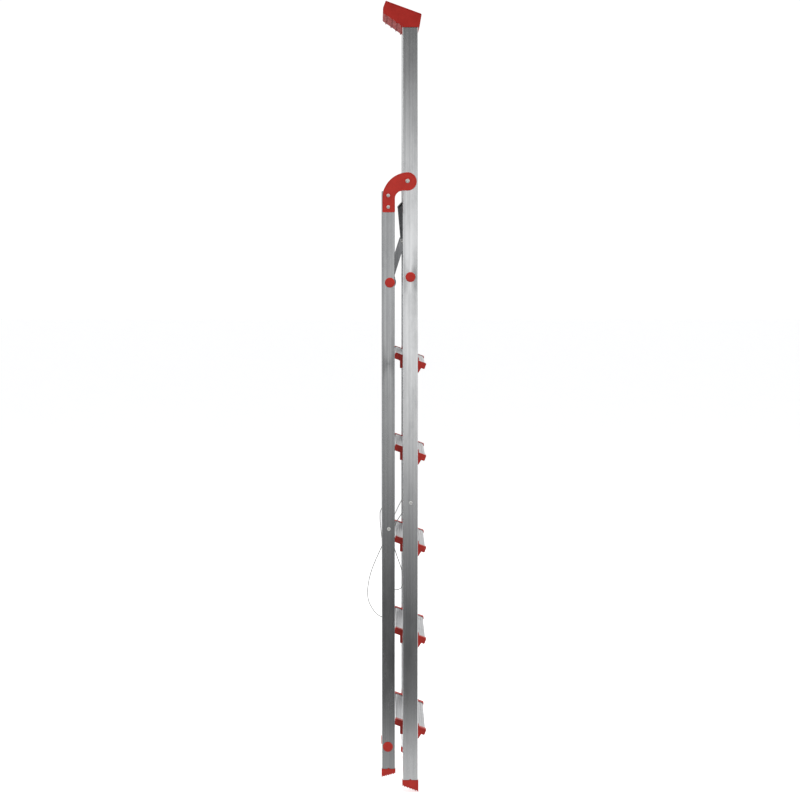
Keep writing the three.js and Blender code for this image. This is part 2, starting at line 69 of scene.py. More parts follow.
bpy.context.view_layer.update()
JOINTS: dict[str, dict] = {joint["name"]: joint for joint in frame["joints"]}
BODY_OF: dict[str, str] = {
    node: body
    for body, nodes in frame["record"]["behaviour"]["bodies"].items()
    for node in nodes
}

MM = 0.001
GAP = 0.3 * MM  # between pieces that touch
LEAN = math.radians(20)  # the front frame's lean in use, so the slope of its treads
REAR_LEAN = math.radians(15)
TAPER = math.radians(1.8)  # each stile leans in by this
DECK_FOLDED = math.radians(84.8)  # the deck's elevation when folded
STAY_FOLDED = math.radians(107.3)  # from the rear tube up to the platform

WHITE = (1.0, 1.0, 1.0, 1.0)
TUBE_HOLE = 12.9 * MM  # radii of the holes drilled for tubes, rivets and hinge pins
RIVET_HOLE = 2.7 * MM
PIN_HOLE = 4.3 * MM

Piece = bpy.types.Object
Socket = bpy.types.NodeSocket
Material = bpy.types.Material
Point = tuple[float, float, float]
Corner = tuple[float, float, float]  # y, z and the rounding of the corner
Station = tuple[float, float]  # x and radius of a turned profile
Span = tuple[float, float]


class Side(Enum):
    """One side of the ladder, with the sign of its X as seen from the left side."""

    LEFT = 1
    RIGHT = -1

    @property
    def label(self) -> str:
        """The word for this side in a node's name."""
        return self.name.lower()


class Grain(Enum):
    """The axis that a metal's brushed grain runs along."""

    ACROSS = 0
    UP = 2


class Pick(Enum):
    """What a selection in edit mode takes."""

    VERTS = "VERT"
    EDGES = "EDGE"
    FACES = "FACE"


# ---- Bench: the modelling steps that every piece is made with ----


def deselect() -> None:
    """Leaves nothing selected and nothing active."""
    for shown in bpy.context.view_layer.objects:
        shown.select_set(False)
    bpy.context.view_layer.objects.active = None


def hold(piece: Piece) -> None:
    """Selects one piece alone and makes it the active one."""
    deselect()
    piece.select_set(True)
    bpy.context.view_layer.objects.active = piece


@contextmanager
def editing(piece: Piece) -> Iterator[None]:
    """Opens a piece in edit mode with nothing selected, and closes it again.

    Args:
        piece: The mesh object to edit.
    """
    hold(piece)
    bpy.ops.object.mode_set(mode="EDIT")
    bpy.ops.mesh.select_mode(type=Pick.VERTS.value)
    bpy.ops.mesh.select_all(action="DESELECT")
    yield
    bpy.ops.object.mode_set(mode="OBJECT")


def pick(piece: Piece, what: Pick, test: Callable[[Vector, Vector], bool]) -> None:
    """Selects parts of the piece that is in edit mode.

    Args:
        piece: The mesh object in edit mode.
        what: Whether vertices, edges or faces are picked.
        test: Gets a part's middle, and its normal or an edge's direction, and says yes or no.
    """
    bpy.ops.mesh.select_mode(type=what.value)
    bpy.ops.mesh.select_all(action="DESELECT")
    mesh = bmesh.from_edit_mesh(piece.data)
    if what is Pick.VERTS:
        for vert in mesh.verts:
            vert.select = test(vert.co, vert.normal)
    elif what is Pick.EDGES:
        for edge in mesh.edges:
            start, end = edge.verts[0].co, edge.verts[1].co
            edge.select = test((start + end) / 2, (end - start).normalized())
    else:
        for face in mesh.faces:
            face.select = test(face.calc_center_median(), face.normal)
    mesh.select_flush_mode()
    bmesh.update_edit_mesh(piece.data)


def place(piece: Piece) -> Piece:
    """Puts a piece's place, turn and scale into its mesh."""
    hold(piece)
    bpy.ops.object.transform_apply(location=True, rotation=True, scale=True)
    return piece


def apply_modifier(piece: Piece, kind: str, **settings: object) -> None:
    """Adds one modifier to a piece and applies it.

    Args:
        piece: The piece to work on.
        kind: Blender's name for the modifier.
        **settings: The modifier's own values.
    """
    modifier = piece.modifiers.new(kind.lower(), kind)
    for name, value in settings.items():
        setattr(modifier, name, value)
    hold(piece)
    bpy.ops.object.modifier_apply(modifier=modifier.name)


def tidy_normals(piece: Piece) -> None:
    """Merges doubled vertices and turns every face outwards."""
    with editing(piece):
        bpy.ops.mesh.select_all(action="SELECT")
        bpy.ops.mesh.remove_doubles(threshold=0.002 * MM)
        bpy.ops.mesh.normals_make_consistent(inside=False)


def block(name: str, size: Point, at: Point = (0, 0, 0)) -> Piece:
    """Models a plain block.

    Args:
        name: The new piece's name.
        size: Its size along X, Y and Z.
        at: Its middle.

    Returns:
        The new piece.
    """
    deselect()
    bpy.ops.mesh.primitive_cube_add(size=1, location=at)
    piece = bpy.context.object
    piece.name = name
    piece.scale = size
    return place(piece)


def walk(name: str, points: Sequence[Point]) -> Piece:
    """Draws a line of edges by extruding one vertex from point to point.

    Args:
        name: The new piece's name.
        points: The points of the line.

    Returns:
        The new piece, which has no faces yet.
    """
    deselect()
    bpy.ops.mesh.primitive_plane_add(size=MM, location=points[0])
    piece = bpy.context.object
    piece.name = name
    place(piece)
    with editing(piece):
        bpy.ops.mesh.select_all(action="SELECT")
        bpy.ops.mesh.merge(type="CENTER")
        for here, there in zip(points, points[1:]):
            step = tuple(Vector(there) - Vector(here))
            bpy.ops.mesh.extrude_vertices_move(TRANSFORM_OT_translate={"value": step})
    return piece


def plate(name: str, corners: Sequence[Corner], start: float, end: float, steps: int = 4) -> Piece:
    """Models a flat-sided piece from its outline in the Y-Z plane, drawn out along X.

    Args:
        name: The new piece's name.
        corners: The outline's corners in order, each with its rounding.
        start: The X where the piece starts.
        end: The X where it ends.
        steps: The segments of each rounded corner.

    Returns:
        The new piece.
    """
    piece = walk(name, [(start, y, z) for y, z, _ in corners])
    with editing(piece):
        ends = (Vector((start, *corners[0][:2])), Vector((start, *corners[-1][:2])))
        pick(piece, Pick.VERTS, lambda at, _: min((at - end_).length for end_ in ends) < 1e-6)
        bpy.ops.mesh.edge_face_add()
        bpy.ops.mesh.select_all(action="SELECT")
        bpy.ops.mesh.edge_face_add()
        for y, z, rounding in corners:
            if rounding > 0:
                corner = Vector((start, y, z))
                pick(piece, Pick.VERTS, lambda at, _: (at - corner).length < 1e-6)
                bpy.ops.mesh.bevel(offset=rounding, segments=steps, affect="VERTICES")
        bpy.ops.mesh.select_all(action="SELECT")
        bpy.ops.mesh.extrude_region_move(TRANSFORM_OT_translate={"value": (end - start, 0, 0)})
    tidy_normals(piece)
    return piece


def turned(name: str, stations: Sequence[Station], steps: int = 32) -> Piece:
    """Spins a profile about the X axis, as on a lathe.

    Args:
        name: The new piece's name.
        stations: The profile's points as x and radius. It ends on the axis or on its own start.
        steps: The segments round the piece.

    Returns:
        The new piece.
    """
    piece = walk(name, [(x, 0, radius) for x, radius in stations])
    with editing(piece):
        bpy.ops.mesh.select_all(action="SELECT")
        bpy.ops.mesh.spin(steps=steps, angle=2 * math.pi, center=(0, 0, 0), axis=(1, 0, 0))
    tidy_normals(piece)
    return piece


def arc(y: float, z: float, radius: float, start: float, end: float, steps: int) -> list[Corner]:
    """Lists the points of an arc in the Y-Z plane, as sharp corners of an outline.

    Args:
        y: The centre's Y.
        z: The centre's Z.
        radius: The arc's radius.
        start: The angle from +Y where it starts, in radians.
        end: The angle where it ends.
        steps: The number of segments.

    Returns:
        The arc's points, both ends included.
    """
    turns = [start + (end - start) * i / steps for i in range(steps + 1)]
    return [(y + radius * math.cos(a), z + radius * math.sin(a), 0.0) for a in turns]


def drill(piece: Piece, radius: float, at: Vector, half: float, sides: int = 40) -> None:
    """Drills a round hole along X.

    Args:
        piece: The piece to drill.
        radius: The hole's radius.
        at: The middle of the hole.
        half: Half the drill's length.
        sides: The facets round the hole.
    """
    deselect()
    bpy.ops.mesh.primitive_cylinder_add(
        vertices=sides, radius=radius, depth=2 * half, location=at, rotation=(0, math.pi / 2, 0)
    )
    carve(piece, place(bpy.context.object))


def carve(piece: Piece, tool: Piece) -> None:
    """Cuts a tool's shape out of a piece and throws the tool away."""
    apply_modifier(piece, "BOOLEAN", object=tool, operation="DIFFERENCE", solver="EXACT")
    bpy.data.objects.remove(tool)


def weld(piece: Piece, other: Piece) -> None:
    """Joins another shape to a piece as one body and throws the other away."""
    apply_modifier(piece, "BOOLEAN", object=other, operation="UNION", solver="EXACT")
    bpy.data.objects.remove(other)


def soften(piece: Piece, width: float, steps: int = 2) -> None:
    """Rounds a piece's sharp edges and shades what is round smoothly.

    Args:
        piece: The piece to finish.
        width: The width of the rounding, or 0 for none.
        steps: The rounding's segments.
    """
    if width > 0:
        with editing(piece):
            bpy.ops.mesh.select_all(action="SELECT")
            bpy.ops.mesh.dissolve_limited(angle_limit=math.radians(1))
        limit = math.radians(38)
        apply_modifier(
            piece, "BEVEL", width=width, segments=steps, limit_method="ANGLE", angle_limit=limit,
            use_clamp_overlap=True, miter_outer="MITER_ARC",
        )
    hold(piece)
    bpy.ops.object.shade_smooth_by_angle(angle=math.radians(32))


def lean_in(piece: Piece) -> Piece:
    """Leans a left piece, modelled upright, in by the stiles' taper."""
    piece.matrix_world = Matrix.Rotation(TAPER, 4, "Y") @ piece.matrix_world
    return place(piece)


def slope(piece: Piece, angle: float) -> Piece:
    """Turns a piece about the X axis, +Y towards +Z."""
    piece.matrix_world = Matrix.Rotation(angle, 4, "X") @ piece.matrix_world
    return place(piece)


def mesh_box(piece: Piece) -> tuple[Vector, Vector]:
    """The lowest and highest corners of a piece's mesh."""
    points = [vert.co for vert in piece.data.vertices]
    low = Vector(min(point[i] for point in points) for i in range(3))
    high = Vector(max(point[i] for point in points) for i in range(3))
    return low, high


def node_middle(node: str) -> Vector:
    """The middle of a CAD node's box."""
    low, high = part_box(node)
    return (low + high) / 2


def seat(piece: Piece, node: str) -> Piece:
    """Moves a piece so that its box is centred where the CAD node's box is.

    Args:
        piece: The piece, modelled and turned, anywhere.
        node: The CAD node whose place it takes.

    Returns:
        The piece.
    """
    low, high = mesh_box(piece)
    node_low, node_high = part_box(node)
    off = max(abs(a) for a in (high - low) - (node_high - node_low))
    if off > 1.2 * MM:
        log.warning("%s differs from its node by %.2f mm", piece.name, off / MM)
    piece.location = (node_low + node_high - low - high) / 2
    return place(piece)


def mirrored(piece: Piece, name: str) -> Piece:
    """Copies a left piece to the right side, with a mesh of its own.

    Args:
        piece: The left piece, in its place.
        name: The copy's name.

    Returns:
        The right piece.
    """
    copy = piece.copy()
    copy.data = piece.data.copy()
    copy.name = name
    bpy.context.scene.collection.objects.link(copy)
    copy.scale.x = -1
    place(copy)
    tidy_normals(copy)
    return copy


# ---- Finishes ----


def colour(code: str) -> tuple[float, float, float, float]:
    """Turns a hexadecimal display colour into a linear one for a shader."""
    parts = [int(code[i : i + 2], 16) / 255 for i in (0, 2, 4)]
    linear = [p / 12.92 if p <= 0.04045 else ((p + 0.055) / 1.055) ** 2.4 for p in parts]
    return (*linear, 1.0)


class Shader:
    """A node material that is wired up step by step."""

    def __init__(self, name: str) -> None:
        """Starts a material with one Principled shader."""
        self.material = bpy.data.materials.new(name)
        self.material.use_nodes = True
        self.nodes = self.material.node_tree.nodes
        self.links = self.material.node_tree.links
        self.surface = self.nodes["Principled BSDF"]
        self.place = self.nodes.new("ShaderNodeTexCoord").outputs["Object"]

    def set(self, **values: object) -> None:
        """Sets constant values on the surface's sockets, by name with _ for a space."""
        for name, value in values.items():
            self.surface.inputs[name.replace("_", " ")].default_value = value

    def turned(self, turn: Point) -> None:
        """Turns the pattern's coordinates once, before any stretching."""
        mapping = self.nodes.new("ShaderNodeMapping")
        mapping.inputs["Rotation"].default_value = turn
        self.links.new(self.place, mapping.inputs["Vector"])
        self.place = mapping.outputs["Vector"]

    def noise(self, scale: Point, detail: float = 2.0, rough: float = 0.5) -> Socket:
        """Adds noise on the piece's own coordinates.

        Args:
            scale: Cells per metre along X, Y and Z.
            detail: The noise's octaves.
            rough: How strong the finer octaves are.

        Returns:
            The noise's value, about 0.5.
        """
        mapping = self.nodes.new("ShaderNodeMapping")
        mapping.inputs["Scale"].default_value = scale
        texture = self.nodes.new("ShaderNodeTexNoise")
        texture.inputs["Scale"].default_value = 1.0
        texture.inputs["Detail"].default_value = detail
        texture.inputs["Roughness"].default_value = rough
        self.links.new(self.place, mapping.inputs["Vector"])
        self.links.new(mapping.outputs["Vector"], texture.inputs["Vector"])
        return texture.outputs["Fac"]

    def span(self, value: Socket, band: Span, out: Span) -> Socket:
        """Spreads a band of a value over the range out."""
        node = self.nodes.new("ShaderNodeMapRange")
        for name, limit in zip(("From Min", "From Max", "To Min", "To Max"), (*band, *out)):
            node.inputs[name].default_value = limit
        self.links.new(value, node.inputs["Value"])
        return node.outputs["Result"]

    def layer(self, base: Socket | str, value: Socket, band: Span, share: Span, over: str) -> Socket:
        """Lays one colour over another, as thickly as a pattern says.

        Args:
            base: The colour underneath, as a display colour or the socket that gives it.
            value: The pattern.
            band: The band of the pattern's values that counts.
            share: How thickly the upper colour lies at the band's two ends.
            over: The upper display colour.

        Returns:
            The mixed colour.
        """
        node = self.nodes.new("ShaderNodeMix")
        node.data_type = "RGBA"
        if isinstance(base, str):
            node.inputs[6].default_value = colour(base)
        else:
            self.links.new(base, node.inputs[6])
        node.inputs[7].default_value = colour(over)
        self.links.new(self.span(value, band, share), node.inputs[0])
        return node.outputs[2]

    def wire(self, socket: Socket, name: str) -> None:
        """Links a value to one of the surface's sockets."""
        self.links.new(socket, self.surface.inputs[name])

    def bump(self, height: Socket, depth: float, strength: float = 1.0) -> None:
        """Adds one more layer of relief.

        Args:
            height: The relief's height, from 0 to 1.
            depth: What a height of 1 is, in metres.
            strength: The share of the relief that shows.
        """
        node = self.nodes.new("ShaderNodeBump")
        node.inputs["Distance"].default_value = depth
        node.inputs["Strength"].default_value = strength
        self.links.new(height, node.inputs["Height"])
        normal = self.surface.inputs["Normal"]
        if normal.is_linked:
            self.links.new(normal.links[0].from_socket, node.inputs["Normal"])
        self.links.new(node.outputs["Normal"], normal)


@dataclass(frozen=True)
class BrushedAluminium:
    """Bare aluminium with a grain along its length, faint smudges and handling marks."""

    name: str
    tone: str = "dcddde"
    dark: str = "a6a8aa"
    roughness: float = 0.2
    grain: Grain = Grain.UP
    stretch: float = 2.2
    fineness: float = 1500.0
    anisotropy: float = 0.85
    turn: Point = (0.0, 0.0, 0.0)

    def scale(self, across: float, along: float) -> Point:
        """Cells per metre on the three axes, fine across the grain and long along it."""
        scale = [across, across, across]
        scale[self.grain.value] = along
        return tuple(scale)

    def make(self) -> Material:
        """Builds the material.

        Returns:
            The finished material.
        """
        shader = Shader(self.name)
        shader.set(Metallic=1.0, Anisotropic=self.anisotropy)
        shader.turned(self.turn)
        streaks = shader.noise(self.scale(self.fineness, self.stretch), 3.0, 0.6)
        bands = shader.noise(self.scale(170.0, 0.9), 2.0, 0.5)
        smudges = shader.noise((26.0, 26.0, 9.0), 4.0, 0.62)
        marks = shader.noise((240.0, 240.0, 70.0), 2.0, 0.5)
        base = shader.layer(self.tone, streaks, (0.36, 0.68), (0.0, 0.42), self.dark)
        base = shader.layer(base, bands, (0.45, 0.75), (0.0, 0.35), self.dark)
        base = shader.layer(base, smudges, (0.5, 0.78), (0.0, 0.25), "8c8e90")
        base = shader.layer(base, marks, (0.7, 0.78), (0.0, 0.16), "77797b")
        shader.wire(base, "Base Color")
        spread = (self.roughness - 0.05, self.roughness + 0.08)
        shader.wire(shader.span(smudges, (0.3, 0.75), spread), "Roughness")
        shader.bump(streaks, 0.01 * MM, 0.3)
        return shader.material


@dataclass(frozen=True)
class MouldedPlastic:
    """Injection-moulded plastic with a fine spark-eroded grain and soft colour variation."""

    name: str
    tone: str
    shade: str
    bloom: str
    roughness: float = 0.42
    gloss: float = 0.42

    def make(self) -> Material:
        """Builds the material.

        Returns:
            The finished material.
        """
        shader = Shader(self.name)
        shader.set(Metallic=0.0, IOR=1.49, Specular_IOR_Level=self.gloss)
        cloud = shader.noise((38.0, 38.0, 38.0), 3.0, 0.55)
        grain = shader.noise((2100.0, 2100.0, 2100.0), 2.0, 0.5)
        dust = shader.noise((150.0, 150.0, 420.0), 3.0, 0.6)
        base = shader.layer(self.tone, cloud, (0.35, 0.7), (0.0, 0.6), self.shade)
        base = shader.layer(base, dust, (0.62, 0.8), (0.0, 0.35), self.bloom)
        base = shader.layer(base, grain, (0.4, 0.65), (0.0, 0.16), self.shade)
        shader.wire(base, "Base Color")
        spread = (self.roughness - 0.06, self.roughness + 0.1)
        shader.wire(shader.span(cloud, (0.3, 0.7), spread), "Roughness")
        shader.bump(grain, 0.05 * MM, 0.4)
        shader.bump(cloud, 0.3 * MM, 0.12)
        return shader.material


@dataclass(frozen=True)
class PlatedSteel:
    """Zinc-plated steel with a light spangle, for pins and rivets."""

    name: str
    tone: str = "f2f2ee"
    shade: str = "c6c7c4"

    def make(self) -> Material:
        """Builds the material.

        Returns:
            The finished material.
        """
        shader = Shader(self.name)
        shader.set(Metallic=1.0)
        spangle = shader.noise((520.0, 520.0, 520.0), 3.0, 0.6)
        base = shader.layer(self.tone, spangle, (0.4, 0.7), (0.0, 0.6), self.shade)
        shader.wire(base, "Base Color")
        shader.wire(shader.span(spangle, (0.3, 0.7), (0.2, 0.38)), "Roughness")
        shader.bump(spangle, 0.04 * MM, 0.3)
        return shader.material


@dataclass(frozen=True)
class PaintedMetal:
    """Satin paint over sheet metal, with a fine orange peel and rubbed patches; its dark grey tone is painted
    shade.
    """

    name: str
    tone: str = "77797b"
    rubbed: str = "8f9092"

    def make(self) -> Material:
        """Builds the material.

        Returns:
            The finished material.
        """
        shader = Shader(self.name)
        shader.set(Metallic=0.35)
        peel = shader.noise((900.0, 900.0, 900.0), 2.0, 0.5)
        wear = shader.noise((60.0, 60.0, 18.0), 4.0, 0.65)
        base = shader.layer(self.tone, wear, (0.5, 0.72), (0.0, 0.75), self.rubbed)
        shader.wire(base, "Base Color")
        shader.wire(shader.span(wear, (0.3, 0.7), (0.4, 0.56)), "Roughness")
        shader.bump(peel, 0.03 * MM, 0.4)
        return shader.material


@dataclass(frozen=True)
class TwistedCord:
    """Pale synthetic cord whose strands wind round it."""

    name: str
    tone: str = "a3a29d"
    shade: str = "62615d"

    def make(self) -> Material:
        """Builds the material.

        Returns:
            The finished material.
        """
        shader = Shader(self.name)
        shader.set(Metallic=0.0, Roughness=0.7, Sheen_Weight=0.25)
        strands = shader.nodes.new("ShaderNodeTexWave")
        strands.wave_type = "BANDS"
        strands.bands_direction = "DIAGONAL"
        strands.inputs["Scale"].default_value = 260.0
        strands.inputs["Distortion"].default_value = 1.5
        shader.links.new(shader.place, strands.inputs["Vector"])
        fluff = shader.noise((1800.0, 1800.0, 1800.0), 2.0, 0.6)
        lay = strands.outputs["Fac"]
        # The grooves between strands, where the lay is low, are darkened: painted shade.
        base = shader.layer(self.tone, lay, (0.35, 1.0), (0.7, 0.0), self.shade)
        base = shader.layer(base, fluff, (0.5, 0.7), (0.0, 0.3), self.shade)
        shader.wire(base, "Base Color")
        shader.bump(lay, 0.12 * MM, 0.8)
        return shader.material


class Paintbox:
    """Every finish of the ladder, made once."""

    def __init__(self) -> None:
        """Makes the materials."""
        self.front_stile = self.stile_pair("front_stile")
        # The rear stiles' tone and dark tone are darker than the front stiles': painted shade on the same brushed
        # aluminium.
        self.rear_stile = self.stile_pair("rear_stile", "b2b3b4", "727476", 0.24)
        self.tube = BrushedAluminium("drawn_tube", grain=Grain.ACROSS, roughness=0.27).make()
        self.tread = BrushedAluminium(
            "ribbed_tread", tone="cfd0d1", dark="a3a4a6", grain=Grain.ACROSS, roughness=0.36, anisotropy=0.4
        ).make()
        self.stay = BrushedAluminium("pressed_stay", tone="a9aaac", dark="7e8083", roughness=0.38).make()
        self.red = MouldedPlastic("red_moulding", "d9362a", "ba2a20", "de5848", gloss=0.3).make()
        # The tray's tone, shade and bloom are darker than the other red mouldings': painted shade over the whole
        # tray.
        self.tray = MouldedPlastic("tray_moulding", "c2332b", "a82923", "c8483f", 0.55, 0.1).make()
        # Near-black plastic for the deck's end rest: painted shade, standing in for the shade on the deck's end
        # edge.
        self.black = MouldedPlastic("dark_moulding", "2b2c2d", "222324", "4a4b4c", roughness=0.5).make()
        self.grey = PaintedMetal("grey_side_plate").make()
        self.steel = PlatedSteel("plated_rivet").make()
        self.cord = TwistedCord("safety_cord").make()

    def stile_pair(self, stem: str, *looks: str | float) -> dict[Side, Material]:
        """Makes the left and right finish of a pair of stiles, with the grain along each stile's lean.

        Args:
            stem: The stiles' name without the side.
            *looks: The brushed aluminium's tone, dark tone and roughness, where they aren't the usual ones.

        Returns:
            The finish for each side.
        """
        finishes = {}
        for side in Side:
            turn = (0.0, -side.value * TAPER, 0.0)
            finishes[side] = BrushedAluminium(f"{stem}_{side.label}_brushed", *looks, turn=turn).make()
        return finishes


def finish_piece(piece: Piece, node: str, material: Material) -> None:
    """Dresses a piece, has it stand for its CAD node and ride on that node's body.

    Args:
        piece: The finished piece, in its place.
        node: The CAD node that it replaces.
        material: The finish to put on it.
    """
    if piece.type == "MESH":
        apply_modifier(piece, "WEIGHTED_NORMAL", keep_sharp=True, weight=70)
    piece.data.materials.clear()
    piece.data.materials.append(material)
    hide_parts(node)
    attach(piece, BODY_OF[node])
    log.info("%s on %s", piece.name, BODY_OF[node])


def finish_pair(piece: Piece, stem: str, left: Material, right: Material | None = None) -> None:
    """Finishes a left piece and its mirror image on the right.

    Args:
        piece: The left piece, in its place.
        stem: The nodes' name without its side.
        left: The left piece's finish.
        right: The right piece's finish, where it isn't the same.
    """
    other = mirrored(piece, f"{stem}_right_finished")
    finish_piece(piece, f"{stem}_left", left)
    finish_piece(other, f"{stem}_right", right or left)


def complete(piece: Piece, node: str, rounding: float, finish: Material) -> None:
    """Puts a single piece in its node's place, rounds its edges and finishes it.

    Args:
        piece: The piece, turned as it lies in the ladder.
        node: The CAD node that it replaces.
        rounding: The width of its rounded edges, or 0.
        finish: Its finish.
    """
    soften(seat(piece, node), rounding)
    finish_piece(piece, node, finish)


def complete_pair(piece: Piece, stem: str, rounding: float, finish: Material) -> None:
    """Puts a left piece in its node's place, rounds its edges and finishes it and its mirror image.

    Args:
        piece: The left piece, turned as it lies in the ladder.
        stem: The nodes' name without its side.
        rounding: The width of the rounded edges, or 0.
        finish: The finish of both.
    """
    soften(seat(piece, f"{stem}_left"), rounding)
    finish_pair(piece, stem, finish)


# ---- Cords ----


@dataclass
class SafetyCord:
    """A limp cord that ties a front stile to the rear stile behind it."""

    side: Side
    length: float
    route: Sequence[Point]
    diameter: float = 2 * MM

    def build(self, paint: Paintbox) -> None:
        """Lays the cord along its route.

        Args:
            paint: The finishes.
        """
        name = f"safety_cord_{self.side.label}"
        curve = bpy.data.curves.new(f"{name}_line", "CURVE")
        curve.dimensions = "3D"
        curve.bevel_depth = self.diameter / 2
        curve.bevel_resolution = 3
        curve.resolution_u = 6
        curve.use_fill_caps = True
        spline = curve.splines.new("BEZIER")
        spline.bezier_points.add(len(self.route) - 1)
        for knot, point in zip(spline.bezier_points, self.route):
            knot.co = Vector(point) * MM
            knot.handle_left_type = "AUTO"
            knot.handle_right_type = "AUTO"
        piece = bpy.data.objects.new(f"{name}_finished", curve)
        bpy.context.scene.collection.objects.link(piece)
        finish_piece(piece, name, paint.cord)


LEFT_CORD = SafetyCord(
    Side.LEFT,
    0.784,
    [
        (-187.2, -18.4, 789), (-181, -18.4, 788), (-177, -15, 783), (-176, -5, 771), (-176, 7, 754),
        (-177, 19, 735), (-178, 28, 712), (-178, 33, 686), (-178, 34.5, 655), (-178, 34, 615),
        (-178, 32, 570), (-178, 30, 525), (-178, 28.5, 480), (-178, 28, 440), (-179, 29.5, 411),
        (-181, 36, 396), (-184, 44, 397), (-186, 49, 411), (-187, 50.5, 440), (-187, 50, 480),
        (-187, 48, 512), (-186, 43, 534), (-184, 34, 545), (-182, 22, 548), (-181, 11, 550),
        (-180, 4, 558), (-180, 1.5, 573), (-180, 3.5, 592), (-181, 9, 613), (-182, 17, 636),
        (-182, 25, 660), (-182, 32, 682), (-182.5, 38, 699), (-183.5, 40.5, 709), (-185.5, 41, 715),
        (-188.3, 41, 717.8), (-191.4, 41, 718.4),
    ],
)
RIGHT_CORD = SafetyCord(
    Side.RIGHT,
    0.786,
    [
        (187.2, -18.4, 789), (181, -18.4, 788), (177, -15, 783), (175.5, -7, 770), (175, 5, 750),
        (175.5, 20, 719), (176.5, 30, 696), (178, 42, 662), (180, 62, 615), (181, 78, 579),
        (182, 91.5, 542), (182.5, 98.5, 508), (182.5, 100, 486), (182, 96.5, 463), (181.5, 87, 443),
        (181, 73, 426), (180, 60, 418), (179, 47, 416), (178, 37.5, 423), (177.5, 34, 440),
        (177.5, 34.5, 475), (178, 38, 515), (178.5, 44.5, 558), (179, 52, 600), (179.5, 58.5, 642),
        (180, 62.5, 680), (180, 64, 708), (180, 62, 725), (181, 56, 733), (182.5, 49.5, 732.5),
        (184, 44.5, 728), (185.8, 41.8, 722), (188.3, 41, 719.2), (191.4, 41, 718.4),
    ],
)


# ---- Stage: camera, floor and light ----


